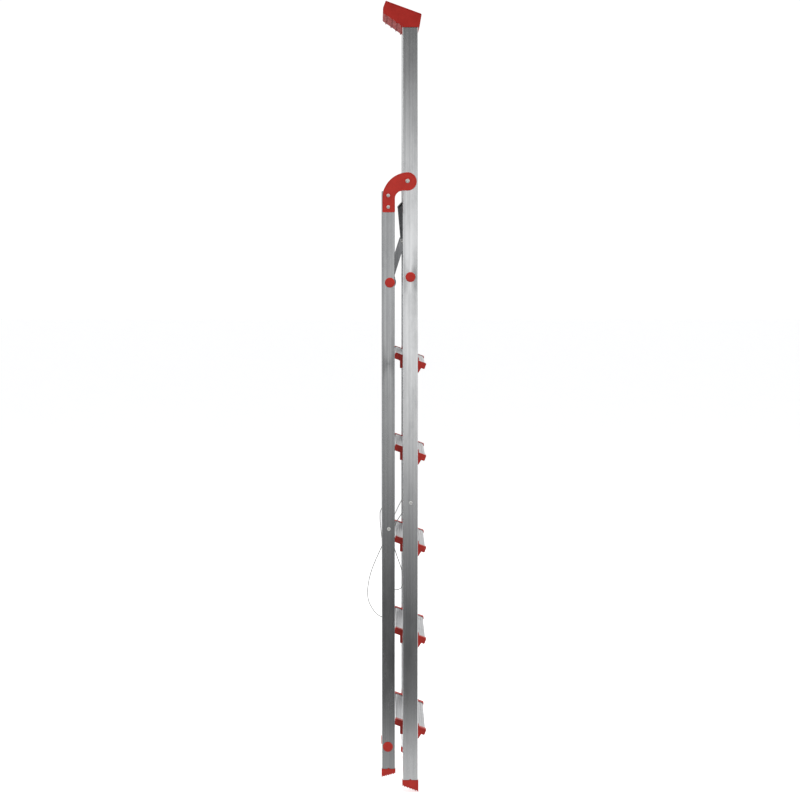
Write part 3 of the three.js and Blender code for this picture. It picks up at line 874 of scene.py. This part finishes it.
@dataclass
class Stage:
    """The camera, a pale floor and soft studio light."""

    distance: float = 7.354
    lens: float = 123.0
    eye_height: float = 1.605
    eye_aside: float = 0.0757
    aim: tuple[float, float] = (0.0108, 1.0715)
    floor_size: float = 60.0
    floor_lift: float = 0.66  # the floor's own light, so that it is as pale as the surround
    seen: float = 1.05  # the surround's brightness to the camera
    lit: float = 0.36
    shown: float = 0.9
    cool: tuple[float, float, float, float] = (0.96, 0.97, 1.0, 1.0)

    def add_camera(self) -> None:
        """Sets the camera up beside the ladder, level with its upper half."""
        side_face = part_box("front_stile_left")[0].x
        eye = Vector((side_face - self.distance, self.eye_aside, self.eye_height))
        target = Vector((side_face, *self.aim))
        data = bpy.data.cameras.new("camera")
        data.lens = self.lens
        data.clip_end = 200.0
        camera = bpy.data.objects.new("camera", data)
        camera.location = eye
        camera.rotation_euler = (target - eye).to_track_quat("-Z", "Y").to_euler()
        bpy.context.scene.collection.objects.link(camera)
        bpy.context.scene.camera = camera

    def add_floor(self) -> None:
        """Lays a wide pale floor under the feet."""
        deselect()
        bpy.ops.mesh.primitive_plane_add(size=self.floor_size, location=(0, 0, 0))
        floor = bpy.context.object
        floor.name = "studio_floor"
        shader = Shader("pale_floor")
        shader.set(Roughness=0.9, Specular_IOR_Level=0.1)
        shader.set(Emission_Color=WHITE, Emission_Strength=self.floor_lift)
        cloud = shader.noise((3.0, 3.0, 3.0), 3.0, 0.5)
        shader.wire(shader.layer("f4f4f3", cloud, (0.4, 0.7), (0.0, 0.4), "eeeeed"), "Base Color")
        floor.data.materials.append(shader.material)
        floor.visible_diffuse = False

    def add_world(self) -> None:
        """Sets a white surround that lights the ladder evenly and softly."""
        world = bpy.data.worlds.new("studio")
        world.use_nodes = True
        nodes, links = world.node_tree.nodes, world.node_tree.links
        sources = (nodes["Background"], *(nodes.new("ShaderNodeBackground") for _ in range(2)))
        strengths, tints = (self.seen, self.lit, self.shown), (WHITE, self.cool, WHITE)
        for node, strength, tint in zip(sources, strengths, tints):
            node.inputs["Color"].default_value = tint
            node.inputs["Strength"].default_value = strength
        seen, lit, shown = sources
        rays = nodes.new("ShaderNodeLightPath")
        glossy, camera = nodes.new("ShaderNodeMixShader"), nodes.new("ShaderNodeMixShader")
        links.new(rays.outputs["Is Glossy Ray"], glossy.inputs["Fac"])
        links.new(lit.outputs["Background"], glossy.inputs[1])
        links.new(shown.outputs["Background"], glossy.inputs[2])
        links.new(rays.outputs["Is Camera Ray"], camera.inputs["Fac"])
        links.new(glossy.outputs["Shader"], camera.inputs[1])
        links.new(seen.outputs["Background"], camera.inputs[2])
        links.new(camera.outputs["Shader"], nodes["World Output"].inputs["Surface"])
        bpy.context.scene.world = world

    def add_softbox(self, name: str, at: Vector, towards: Vector, size: float, watts: float) -> None:
        """Hangs one soft square lamp.

        Args:
            name: The lamp's name.
            at: Its middle.
            towards: The point it faces.
            size: Its width and its height.
            watts: Its power.
        """
        data = bpy.data.lights.new(name, "AREA")
        data.shape = "SQUARE"
        data.size = size
        data.energy = watts
        lamp = bpy.data.objects.new(name, data)
        lamp.location = at
        lamp.rotation_euler = (towards - at).to_track_quat("-Z", "Y").to_euler()
        lamp.visible_glossy = False
        bpy.context.scene.collection.objects.link(lamp)

    def add_card(self, name: str, corners: Sequence[Vector], glow: Sequence[Span], across: int) -> None:
        """Stands a card that shows only in reflections, with its own glow along one axis.

        Args:
            name: The card's name.
            corners: Its four corners in order.
            glow: Pairs of a place along the axis and the brightness there.
            across: The axis that the glow varies along, 0 for X or 2 for Z.
        """
        mesh = bpy.data.meshes.new(name)
        mesh.from_pydata(corners, [], [(0, 1, 2, 3)])
        card = bpy.data.objects.new(name, mesh)
        bpy.context.scene.collection.objects.link(card)
        material = bpy.data.materials.new(name)
        material.use_nodes = True
        nodes, links = material.node_tree.nodes, material.node_tree.links
        nodes.clear()
        place_, split = nodes.new("ShaderNodeTexCoord"), nodes.new("ShaderNodeSeparateXYZ")
        spread, ramp = nodes.new("ShaderNodeMapRange"), nodes.new("ShaderNodeValToRGB")
        emit, out = nodes.new("ShaderNodeEmission"), nodes.new("ShaderNodeOutputMaterial")
        low, high = glow[0][0], glow[-1][0]
        spread.inputs["From Min"].default_value = low
        spread.inputs["From Max"].default_value = high
        stops = ramp.color_ramp.elements
        while len(stops) < len(glow):
            stops.new(0.5)
        for stop, (at, bright) in zip(stops, glow):
            stop.position = (at - low) / (high - low)
            stop.color = (bright, bright, bright, 1.0)
        links.new(place_.outputs["Object"], split.inputs[0])
        links.new(split.outputs[across], spread.inputs["Value"])
        links.new(spread.outputs["Result"], ramp.inputs["Fac"])
        links.new(ramp.outputs["Color"], emit.inputs["Color"])
        links.new(emit.outputs["Emission"], out.inputs["Surface"])
        card.data.materials.append(material)
        for rays in ("camera", "diffuse", "shadow", "transmission"):
            setattr(card, f"visible_{rays}", False)

    def build(self) -> None:
        """Sets the whole stage."""
        self.add_camera()
        self.add_floor()
        self.add_world()
        middle = Vector((0, 0, 1.1))
        lamps = {
            "key": ((-4.5, -3.6, 3.6), 2.4, 90),
            "fill": ((-3.6, 4.6, 2.4), 2.6, 55),
            "back": ((4.8, 1.0, 3.4), 2.6, 50),
            "top": ((0, 0, 5.2), 3.2, 70),
        }
        for name, (at, size, watts) in lamps.items():
            self.add_softbox(name, Vector(at), middle, size, watts)
        far, half, high = -9.0, 12.0, 9.0
        wall = [Vector((far, y, z)) for y, z in ((-half, 0.0), (half, 0.0), (half, high), (-half, high))]
        wall_glow = [
            (0.0, 0.2), (0.3, 0.38), (0.6, 0.62), (0.9, 0.9), (1.25, 1.06), (1.8, 1.18), (2.15, 1.08),
            (2.45, 0.78), (2.75, 0.46), (3.0, 0.26), (3.3, 0.12), (high, 0.06),
        ]
        self.add_card("wall_card", wall, wall_glow, 2)
        lift, near = 0.004, -0.32
        floor_ = [Vector((x, y, lift)) for x, y in ((far, -half), (near, -half), (near, half), (far, half))]
        floor_glow = [
            (far, 0.18), (-6.0, 0.15), (-4.6, 0.11), (-3.6, 0.1), (-2.7, 0.12), (-2.0, 0.2), (-1.35, 0.5),
            (-0.8, 0.66), (near, 0.7),
        ]
        self.add_card("floor_card", floor_, floor_glow, 0)


# ---- Stiles and tubes ----


@dataclass
class HollowSection:
    """A rectangular aluminium extrusion with rounded corners, drilled for its tubes and rivets."""

    stem: str
    width: float
    depth: float
    wall: float
    bottom: float
    top: float
    corner: float = 2.5 * MM
    notch: float = 2.6 * MM

    def build(self, holes: Sequence[tuple[str, float]]) -> Piece:
        """Models the left stile.

        Args:
            holes: Pairs of the CAD node that goes through the stile and the hole's radius.

        Returns:
            The stile, in its place.
        """
        size = (self.width, self.depth, self.top - self.bottom)
        piece = block(f"{self.stem}_left_finished", size, (0, 0, (self.top + self.bottom) / 2))
        with editing(piece):
            pick(piece, Pick.EDGES, lambda _, along: abs(along.z) > 0.9)
            bpy.ops.mesh.bevel(offset=self.corner, segments=6, affect="EDGES")
            pick(piece, Pick.FACES, lambda _, normal: abs(normal.z) > 0.9)
            bpy.ops.mesh.delete(type="FACE")
        apply_modifier(piece, "SOLIDIFY", thickness=self.wall, offset=-1, use_even_offset=True)
        outer = Vector((-self.width / 2, 0, self.bottom))
        drill(piece, self.notch, outer, 2 * self.wall)
        seat(lean_in(piece), f"{self.stem}_left")
        for node, radius in holes:
            drill(piece, radius, node_middle(node), 40 * MM)
        soften(piece, 0)
        return piece


FRONT_STILE = HollowSection("front_stile", 22 * MM, 41 * MM, 1.6 * MM, 33 * MM, 2074 * MM)
REAR_STILE = HollowSection("rear_stile", 20 * MM, 35 * MM, 1.4 * MM, 64 * MM, 1634 * MM)


class Stiles:
    """The four stiles."""

    def build(self, paint: Paintbox) -> None:
        """Models the front and rear stiles and mirrors them.

        Args:
            paint: The finishes.
        """
        front_holes = [
            ("platform_tube_cap_left", TUBE_HOLE),
            ("hinge_pin_left", PIN_HOLE),
            ("front_cord_anchor_left", RIVET_HOLE),
        ]
        rear_holes = [
            ("rear_upper_cap_left", TUBE_HOLE),
            ("rear_lower_cap_left", TUBE_HOLE),
            ("arm_rivet_upper_left", RIVET_HOLE),
            ("arm_rivet_lower_left", RIVET_HOLE),
            ("rear_cord_anchor_left", RIVET_HOLE),
        ]
        for stile, holes, finish in (
            (FRONT_STILE, front_holes, paint.front_stile),
            (REAR_STILE, rear_holes, paint.rear_stile),
        ):
            finish_pair(stile.build(holes), stile.stem, finish[Side.LEFT], finish[Side.RIGHT])


@dataclass
class RoundTubes:
    """The three round tubes that run across between the sides."""

    radius: float = 12.5 * MM
    wall: float = 1.5 * MM
    names: tuple[str, ...] = ("platform_tube", "rear_upper_tube", "rear_lower_tube")

    def build(self, paint: Paintbox) -> None:
        """Spins each tube's wall about its axis.

        Args:
            paint: The finishes.
        """
        for node in self.names:
            low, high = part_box(node)
            half = (high.x - low.x) / 2
            inner, edge = self.radius - self.wall, 0.3 * MM
            wall = [
                (-half, inner), (-half, self.radius - edge), (edge - half, self.radius),
                (half - edge, self.radius), (half, self.radius - edge), (half, inner), (-half, inner),
            ]
            complete(turned(f"{node}_finished", wall, 48), node, 0, paint.tube)


# ---- Turned fittings ----


@dataclass
class Fitting:
    """A turned cap, pin or rivet that goes through a stile."""

    stems: tuple[str, ...]
    stations: Sequence[Station]
    steps: int = 32

    def build(self, material: Material) -> None:
        """Turns the fitting once for each place on the left, and mirrors it.

        Args:
            material: The fitting's finish.
        """
        for stem in self.stems:
            piece = turned(f"{stem}_left_finished", self.stations, self.steps)
            complete_pair(lean_in(piece), stem, 0, material)


@dataclass
class Fittings:
    """The tubes' end caps, the hinge pins, the rivets and the cords' anchors."""

    head: float = 4.6 * MM
    shank: float = 2.4 * MM
    dimple: float = 1.5 * MM

    def dome(self, face: float, height: float, radius: float, edge: float, steps: int) -> list[Station]:
        """Lists a low dome from its rim to its middle.

        Args:
            face: The X of the surface that the dome stands on.
            height: The dome's height.
            radius: Its radius.
            edge: The height of its upright rim.
            steps: The number of stretches.

        Returns:
            The dome's stations.
        """
        rise = height - edge
        turns = [math.pi / 2 * i / steps for i in range(steps + 1)]
        return [(face - edge - rise * math.sin(a), radius * math.cos(a) ** 0.55) for a in turns]

    def rivet(self, length: float, tail: float, tail_radius: float) -> list[Station]:
        """Lists the stations of a blind rivet from its tail to the dimple in its head.

        Args:
            length: From under the head to the tail.
            tail: The tail's length.
            tail_radius: Its radius.

        Returns:
            The rivet's stations.
        """
        rise = 1.8 * MM
        end = length + tail
        curve = ((0.0, 1.0), (0.25, 0.98), (0.6, 0.84), (0.9, 0.6))
        head = [(-rise * share, self.head * wide) for share, wide in curve]
        return [
            (end, 0), (end, tail_radius - 0.8 * MM), (end - 0.4 * MM, tail_radius),
            (length, tail_radius), (length, self.shank), (0, self.shank), *head,
            (-rise, self.dimple + 0.3 * MM), (-rise, self.dimple),
            (-0.6 * rise, self.dimple * 0.9), (-0.55 * rise, 0),
        ]

    def build(self, paint: Paintbox) -> None:
        """Makes every turned fitting.

        Args:
            paint: The finishes.
        """
        radius, plug, depth, height = 13.5 * MM, 10.2 * MM, 12 * MM, 4.6 * MM
        cap = [
            (depth, 0), (depth, plug - MM), (depth - MM, plug), (0, plug), (0, radius - 0.3 * MM),
            (-0.3 * MM, radius), *self.dome(0, height, radius, 1.7 * MM, 9),
        ]
        cap[-1] = (-height, 0)
        pin, end = 4 * MM, 34.6 * MM
        stud = [
            (end, 0), (end, 5.6 * MM), (end - 0.4 * MM, 6.2 * MM), (end - 3 * MM, 7 * MM),
            (end - 3 * MM, pin), (0, pin), (0, 5.6 * MM), (-0.5 * MM, 5.6 * MM),
            (-1.4 * MM, 4.9 * MM), (-2 * MM, 3.4 * MM), (-2 * MM, 1.9 * MM), (-1.2 * MM, 1.6 * MM), (-1.1 * MM, 0),
        ]
        screw = [
            (2.4 * MM, 0), (2.4 * MM, 2.6 * MM), (1.8 * MM, 4 * MM), (0.6 * MM, 4.5 * MM), (0, 4.5 * MM),
            (0, 2.2 * MM), (-9 * MM, 2.2 * MM), (-10 * MM, 0),
        ]
        anchors = {"front_cord_anchor": 22.6 * MM, "rear_cord_anchor": 20.6 * MM}
        Fitting(("platform_tube_cap", "rear_upper_cap", "rear_lower_cap"), cap, 48).build(paint.red)
        for stem, length in anchors.items():
            Fitting((stem,), self.rivet(length, 5 * MM, 5 * MM)).build(paint.steel)
        arm_rivet = self.rivet(28.5 * MM, 1.2 * MM, 3.8 * MM)
        Fitting(("arm_rivet_upper", "arm_rivet_lower"), arm_rivet).build(paint.steel)
        Fitting(("hinge_pin",), stud).build(paint.steel)
        Fitting(("tray_screw",), screw, 24).build(paint.steel)


# ---- Hinge arms ----


@dataclass
class HingeArms:
    """The curved plastic arms that hang the rear stiles on the hinge pins."""

    thickness: float = 7 * MM
    lobe: float = 24.5 * MM
    outer_arc: float = 70 * MM
    inner_arc: float = 22 * MM
    front: float = 24.1 * MM
    back: float = 57.9 * MM
    bottom: float = 1577 * MM
    border: float = 2.6 * MM
    recess: float = 0.7 * MM
    boss: float = 7.5 * MM

    def outline(self) -> list[Corner]:
        """Lists the arm's outline: leg, arc over the top, lobe round the pin and inner arc."""
        _, y, z = JOINTS["frame_fold"]["pos_m"]
        arc_y = self.back - self.outer_arc
        arc_z = z - math.sqrt((self.outer_arc - self.lobe) ** 2 - (arc_y - y) ** 2)
        touch = math.atan2(z - arc_z, y - arc_y)
        inner_z = z - self.lobe - self.inner_arc
        return [
            (self.back, self.bottom, 2 * MM),
            *arc(arc_y, arc_z, self.outer_arc, 0, touch, 22),
            *arc(y, z, self.lobe, touch, 1.5 * math.pi, 36)[1:],
            *arc(self.front - self.inner_arc, inner_z, self.inner_arc, 0.5 * math.pi, 0, 12),
            (self.front, self.bottom, 2 * MM),
        ]

    def build(self, paint: Paintbox) -> None:
        """Models the left arm with a raised border and bosses, and mirrors it.

        Args:
            paint: The finishes.
        """
        piece = plate("hinge_arm_left_finished", self.outline(), 0, self.thickness)
        with editing(piece):
            pick(piece, Pick.FACES, lambda _, normal: normal.x < -0.9)
            bpy.ops.mesh.inset(thickness=self.border, depth=0)
            bpy.ops.mesh.inset(thickness=0.5 * MM, depth=-self.recess)
        seat(lean_in(piece), "hinge_arm_left")
        for node in ("hinge_pin_left", "arm_rivet_upper_left", "arm_rivet_lower_left"):
            middle = node_middle(node)
            for_pin = node == "hinge_pin_left"
            wide, high = self.boss * (1.35 if for_pin else 1.0), self.recess + MM
            ring = turned("boss", [(0, 0), (0, wide), (high, wide + 0.6 * MM), (high, 0)], 40)
            ring.location = (self.face_at(middle.z) + 0.12 * MM, middle.y, middle.z)
            weld(piece, place(ring))
            drill(piece, PIN_HOLE if for_pin else RIVET_HOLE, middle, 40 * MM)
        soften(piece, 0.6 * MM)
        finish_pair(piece, "hinge_arm", paint.red)

    def face_at(self, height: float) -> float:
        """The X of the left arm's outer face at a height, on its lean."""
        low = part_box("hinge_arm_left")[0]
        return low.x + (height - low.z) * math.tan(TAPER)


# ---- Feet ----


@dataclass
class Shoe:
    """A plastic shoe under a stile, whose toothed sole slopes by the lean in use."""

    stem: str
    stile: HollowSection
    low: float  # the height of the sole's lowest edge
    lean: float
    way: int  # 1 if the sole rises towards the back, or -1
    lip: float = 1.4 * MM
    teeth: int = 6
    tooth_depth: float = 3.6 * MM

    def outline(self) -> list[Corner]:
        """Lists the shoe's outline: the teeth along the sole, then the flat top."""
        half = self.stile.depth / 2 + self.lip
        pitch = 2 * half / self.teeth
        rise = math.tan(self.lean)
        sole = [(0.0, self.low)]
        for i in range(self.teeth):
            valley, tip = pitch * (i + 0.75), pitch * (i + 1)
            sole.append((valley, self.low + rise * valley + self.tooth_depth))
            sole.append((tip, self.low + rise * tip))
        top = self.stile.bottom - 0.8 * MM
        corners = [*sole, (2 * half, top), (0.0, top)]
        return [(self.way * (along - half), z, 0.0) for along, z in corners]

    def build(self, paint: Paintbox) -> None:
        """Models the left shoe and the plug over it, and mirrors it.

        Args:
            paint: The finishes.
        """
        reach = self.stile.width / 2 + self.lip
        piece = plate(f"{self.stem}_left_finished", self.outline(), -reach, reach)
        clear = 2 * (self.stile.wall + 0.8 * MM)
        size = (self.stile.width - clear, self.stile.depth - clear, 30 * MM)
        weld(piece, block("plug", size, (0, 0, self.stile.bottom + 10 * MM)))
        complete_pair(piece, self.stem, 0.5 * MM, paint.red)


FRONT_SHOE = Shoe("front_foot", FRONT_STILE, 0, LEAN, 1)
REAR_SHOE = Shoe("rear_foot", REAR_STILE, 40 * MM, REAR_LEAN, -1)


# ---- Treads and brackets ----


@dataclass
class Treads:
    """The ribbed treads and the plastic brackets that carry their ends."""

    nose: float = -44.6 * MM
    back: float = 41 * MM
    thickness: float = 12.5 * MM
    wall: float = 2 * MM
    ribs: int = 11
    rib_width: float = 2.2 * MM
    rib_height: float = 0.8 * MM
    count: int = 5
    sleeve: float = 28 * MM
    plate: float = 5 * MM
    cover: float = 1.75 * MM
    slack: float = 0.35 * MM

    def section(self) -> list[Corner]:
        """Lists the tread's section: ribbed top, rounded nose and an open underside."""
        corners = [(self.nose, -self.thickness, MM), (self.nose, 0, 3 * MM)]
        pitch = (self.back - self.nose - 10 * MM) / self.ribs
        side = 0.4 * MM
        for i in range(self.ribs):
            start = self.nose + 5 * MM + pitch * (i + 0.5) - self.rib_width / 2
            end = start + self.rib_width
            corners += [(start, 0, 0), (start + side, self.rib_height, 0.25 * MM)]
            corners += [(end - side, self.rib_height, 0.25 * MM), (end, 0, 0)]
        inner_back, inner_nose = self.back - self.wall, self.nose + self.wall
        low, under = -self.thickness, -self.wall
        return corners + [
            (self.back, 0, 3 * MM), (self.back, low, 0.6 * MM), (inner_back, low, 0.4 * MM),
            (inner_back, under, MM), (inner_nose, under, MM), (inner_nose, low, 0.4 * MM),
        ]

    def envelope(self, grow: float) -> list[Corner]:
        """Lists the tread's outer section grown all round, for its brackets.

        Args:
            grow: How far outside the tread it lies.

        Returns:
            The section's corners.
        """
        low, high = -self.thickness - grow, self.rib_height + grow
        front, rear = self.nose - grow, self.back + grow
        return [(front, low, MM + grow), (rear, low, MM + grow), (rear, high, 3 * MM), (front, high, 3 * MM)]

    def bracket(self, name: str) -> Piece:
        """Models a left bracket: a sleeve over the tread's end and a plate with a lug and a leg.

        Args:
            name: The bracket's name.

        Returns:
            The bracket, about its tread's own origin, with its sleeve still solid.
        """
        piece = slope(plate(name, self.envelope(self.cover), 0, self.sleeve), LEAN)
        web = [
            (-23.5, 3, 2), (-23.5, -8, 0), (-32, -23, 0.8), (-22, -39, 1), (18, -25, 6),
            (21, -26, 0), (28, -26, 2), (28, 5, 0), (-10, 5, 3),
        ]
        corners = [(y * MM, z * MM, rounding * MM) for y, z, rounding in web]
        weld(piece, plate("web", corners, 0, self.plate))
        return piece

    def tread_origin(self, index: int) -> Vector:
        """The point that a tread's section is drawn from, found from its node's box."""
        low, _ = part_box(f"tread_{index}")
        drop = math.sin(LEAN) * abs(self.nose) + math.cos(LEAN) * self.thickness
        return Vector((0, node_middle("front_stile_left").y, low.z + drop))

    def build(self, paint: Paintbox) -> None:
        """Models every tread and its two brackets.

        Args:
            paint: The finishes.
        """
        for index in range(1, self.count + 1):
            node = f"tread_{index}"
            low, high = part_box(node)
            piece = plate(f"{node}_finished", self.section(), low.x, high.x, 3)
            complete(slope(piece, LEAN), node, 0, paint.tread)
            stem = f"step_bracket_{index}"
            bracket = self.bracket(f"{stem}_left_finished")
            seat(lean_in(bracket), f"{stem}_left")
            socket = plate("socket", self.envelope(self.slack), 0, 60 * MM)
            slope(socket, LEAN)
            socket.location = self.tread_origin(index) + Vector((low.x - GAP - 0.3 * MM, 0, 0))
            carve(bracket, place(socket))
            soften(bracket, 0.35 * MM)
            finish_pair(bracket, stem, paint.red)


# ---- Platform ----


@dataclass
class Platform:
    """The fold-down deck, its side plates and the plastic edge that rests on the rear tube."""

    front: float = -21 * MM
    back: float = 209 * MM
    top: float = 18 * MM
    bottom: float = -15.2 * MM
    half: float = 161.5 * MM
    side: float = 3 * MM
    sheet: float = 2.4 * MM
    rest: float = 3.5 * MM
    ribs: int = 22
    rib_width: float = 4 * MM
    rib_height: float = 0.9 * MM

    @property
    def end(self) -> float:
        """Where the deck's sheet stops, short of the end rest."""
        return self.back - self.rest - GAP

    def deck(self) -> Piece:
        """Models the ribbed deck with its turned-down front lip."""
        low = self.top - self.rib_height
        lip = self.top - 16 * MM
        corners = [(self.front, lip, MM), (self.front, self.top, 6 * MM)]
        corners += [(self.front + 9 * MM, self.top, 0), (self.front + 9.6 * MM, low, 0)]
        pitch = (self.end - self.front - 20 * MM) / self.ribs
        slant = 0.6 * MM
        for i in range(self.ribs):
            start = self.front + 12 * MM + pitch * i
            stop = start + self.rib_width
            corners += [(start, low, 0), (start + slant, self.top, 0.2 * MM)]
            corners += [(stop, self.top, 0.2 * MM), (stop + slant, low, 0)]
        under = self.top - self.sheet
        inner = self.front + self.sheet
        corners += [
            (self.end, low, 0), (self.end, under, 0), (inner + 4 * MM, under, 3 * MM),
            (inner, under - 4 * MM, 0), (inner, lip, 0),
        ]
        reach = self.half - self.side - GAP
        return plate("platform_deck_finished", corners, -reach, reach)

    def side_plate(self) -> Piece:
        """Models the left side plate, drilled for the platform tube."""
        corners = [
            (self.front, self.top - MM, 5 * MM), (self.front, -4 * MM, 7 * MM),
            (-8 * MM, self.bottom, 7 * MM), (186 * MM, self.bottom, MM),
            (self.end, 4.4 * MM, MM), (self.end, self.top - MM, MM),
        ]
        piece = plate("platform_side_left_finished", corners, -self.half, self.side - self.half, 6)
        drill(piece, TUBE_HOLE, Vector((-self.half, 0, 0)), 20 * MM)
        return piece

    def end_rest(self) -> Piece:
        """Models the plastic edge across the deck's end, hollowed for the rear tube."""
        end = self.back - self.rest
        low = self.bottom - 0.4 * MM
        corners = [
            (186.5 * MM, low, 0), (191.4 * MM, low, 0), (self.back, 2.4 * MM, 0),
            (self.back, self.top, 1.5 * MM), (end, self.top, MM), (end, 3.8 * MM, 0),
        ]
        piece = plate("platform_end_rest_finished", corners, -self.half, self.half)
        drill(piece, TUBE_HOLE, Vector((0, 212.5 * MM, -11.5 * MM)), 200 * MM, 64)
        return piece

    def build(self, paint: Paintbox) -> None:
        """Models the platform folded up.

        Args:
            paint: The finishes.
        """
        complete(slope(self.deck(), DECK_FOLDED), "platform_deck", 0, paint.tread)
        complete_pair(slope(self.side_plate(), DECK_FOLDED), "platform_side", 0.4 * MM, paint.grey)
        complete(slope(self.end_rest(), DECK_FOLDED), "platform_end_rest", 0.4 * MM, paint.black)


# ---- Stays ----


@dataclass
class Stays:
    """The flat stays between the rear upper tube and the platform, with their pins."""

    length: float = 115.6 * MM
    width: float = 14 * MM
    thickness: float = 3 * MM
    eye: float = 17 * MM
    lip_height: float = 5 * MM
    lip_width: float = 2 * MM

    def stay(self) -> Piece:
        """Models the left stay along +Y from the tube's axis, with a folded lower edge."""
        low, reach = -self.width / 2, self.length + 8 * MM
        web = [(0, low, 0), (reach, low, 6 * MM), (reach, -low, 6 * MM), (0, -low, 0)]
        piece = plate("stay_left_finished", web, 0, self.thickness, 6)
        ring = turned("eye", [(0, 0), (0, self.eye), (self.thickness, self.eye), (self.thickness, 0)], 56)
        weld(piece, ring)
        start, stop = 20 * MM, self.length - 4 * MM
        high, rounding = low + self.lip_height, 1.5 * MM
        edge = [(y, z, rounding) for y, z in ((start, low), (stop, low), (stop, high), (start, high))]
        weld(piece, plate("lip", edge, -self.lip_width, 0.01 * MM))
        drill(piece, TUBE_HOLE, Vector((0, 0, 0)), 20 * MM, 56)
        drill(piece, RIVET_HOLE, Vector((0, self.length, 0)), 20 * MM)
        return piece

    def build(self, paint: Paintbox) -> None:
        """Models the stays folded up, and their pins.

        Args:
            paint: The finishes.
        """
        complete_pair(slope(self.stay(), STAY_FOLDED), "stay", 0.35 * MM, paint.stay)
        tail, long, shank = 3.8 * MM, 3.6 * MM, 2.4 * MM
        stations = [
            (long + 1.1 * MM, 0), (long + 1.1 * MM, tail - MM), (long, tail), (long, shank), (0, shank),
            (0, 5 * MM), (-0.6 * MM, 4.8 * MM), (-1.2 * MM, 3.6 * MM), (-1.5 * MM, 0),
        ]
        complete_pair(turned("stay_pin_left_finished", stations), "stay_pin", 0, paint.steel)


# ---- Tool tray ----


@dataclass
class ToolTray:
    """The moulded tray across the stile tops: a sloping rim, three compartments and ribs underneath."""

    half: float = 177 * MM
    wall: float = 2.6 * MM
    top: float = 2145 * MM
    back: float = 66 * MM
    divider: float = 60 * MM
    seat_height: float = FRONT_STILE.top
    rib_lines: tuple[float, ...] = (23.2 * MM, 36.5 * MM, 50 * MM, 64.5 * MM)
    rib_width: float = 3 * MM
    rib_height: float = 3 * MM

    def rim(self, y: float) -> float:
        """The rim's height at a place from front to back."""
        return self.top - (self.back - y) * math.tan(LEAN)

    def shell(self) -> Piece:
        """Models the solid outside of the tray: the tub, and the ribs under its rising floor."""
        base = self.seat_height + GAP
        tub = [
            (self.back, self.rim(self.back), 2 * MM), (-31 * MM, self.rim(-31 * MM), 3 * MM),
            (-25 * MM, base, 2 * MM), (18 * MM, base, 0), (73.5 * MM, 2113 * MM, 2 * MM),
            (73.5 * MM, 2126 * MM, 3 * MM),
        ]
        piece = plate("tool_tray_finished", tub, -self.half, self.half, 5)
        rise = (2113 * MM - base) / (55.5 * MM)
        for y in self.rib_lines:
            under = base + (y - 18 * MM) * rise - self.rib_height
            front, rear, over = y - self.rib_width / 2, y + self.rib_width / 2, under + 5 * MM
            rib = [(front, under, 0.8 * MM), (rear, under, 0.8 * MM), (rear, over, 0), (front, over, 0)]
            weld(piece, plate("rib", rib, MM - self.half, self.half - MM, 2))
        return piece

    def hollow(self, piece: Piece) -> None:
        """Cuts the three compartments, each level in front and rising behind.

        Args:
            piece: The tray's solid shell.
        """
        floor, over = self.seat_height + 4 * MM, self.top + 20 * MM
        inside = [
            (self.back - 3 * MM, over, 0), (-27 * MM, over, 0), (-27.5 * MM, self.rim(-27 * MM), MM),
            (-22 * MM, floor, 3 * MM), (19 * MM, floor, 0), (70.3 * MM, 2114 * MM, 0),
            (70.3 * MM, 2126 * MM, 2 * MM), (self.back - 3.4 * MM, self.rim(self.back), 0),
        ]
        edges = [-self.half, -self.divider, self.divider, self.half]
        for i, (start, end) in enumerate(zip(edges, edges[1:])):
            start += self.wall if i == 0 else self.wall / 2
            end -= self.wall if i == 2 else self.wall / 2
            carve(piece, plate("inside", inside, start, end, 5))

    def groove(self, piece: Piece) -> None:
        """Cuts a shadow groove under the rim on both end walls.

        Args:
            piece: The hollowed tray.
        """
        rear, front = self.back + 8 * MM, -36 * MM
        over, under, deep = 3.2 * MM, 4.3 * MM, 0.8 * MM
        ends = ((rear, over), (front, over), (front, under), (rear, under))
        strip = [(y, self.rim(y) - drop, 0) for y, drop in ends]
        for way in (-1, 1):
            face = way * self.half
            carve(piece, plate("groove", strip, face - deep, face + deep))

    def plugs(self, piece: Piece) -> None:
        """Adds the plugs that go down into the front stiles.

        Args:
            piece: The tray, in its place.
        """
        middle = node_middle("front_stile_left")
        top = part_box("front_stile_left")[1]
        for way in (-1, 1):
            plug = block("plug", (17.2 * MM, 36.2 * MM, 32 * MM))
            plug.rotation_euler.y = -way * TAPER
            plug.location = (way * (abs(top.x) + 11.3 * MM), middle.y, self.seat_height - 14.3 * MM)
            weld(piece, place(plug))

    def build(self, paint: Paintbox) -> None:
        """Models the tray.

        Args:
            paint: The finishes.
        """
        piece = self.shell()
        self.hollow(piece)
        self.groove(piece)
        piece.location.y = node_middle("front_stile_left").y
        place(piece)
        self.plugs(piece)
        soften(piece, 0.5 * MM)
        finish_piece(piece, "tool_tray", paint.tray)


# ---- Assembly ----


@dataclass
class Stepladder:
    """The whole ladder, as its sub-assemblies."""

    cords: Sequence[SafetyCord] = (LEFT_CORD, RIGHT_CORD)
    parts: Sequence[object] = field(
        default_factory=lambda: (
            Stiles(), RoundTubes(), HingeArms(), FRONT_SHOE, REAR_SHOE,
            Treads(), Platform(), Stays(), ToolTray(), Fittings(),
        )
    )

    def build(self, paint: Paintbox) -> None:
        """Builds the cords, then every other sub-assembly.

        Args:
            paint: The finishes.
        """
        for cord in self.cords:
            cord.build(paint)
        for part in self.parts:
            part.build(paint)


def main() -> None:
    """Builds the stage and the ladder in order."""
    logging.basicConfig(level=logging.INFO, format="%(name)s: %(message)s")
    bpy.context.scene.view_settings.view_transform = "Standard"
    Stage().build()
    Stepladder().build(Paintbox())


if __name__ == "__main__":
    main()
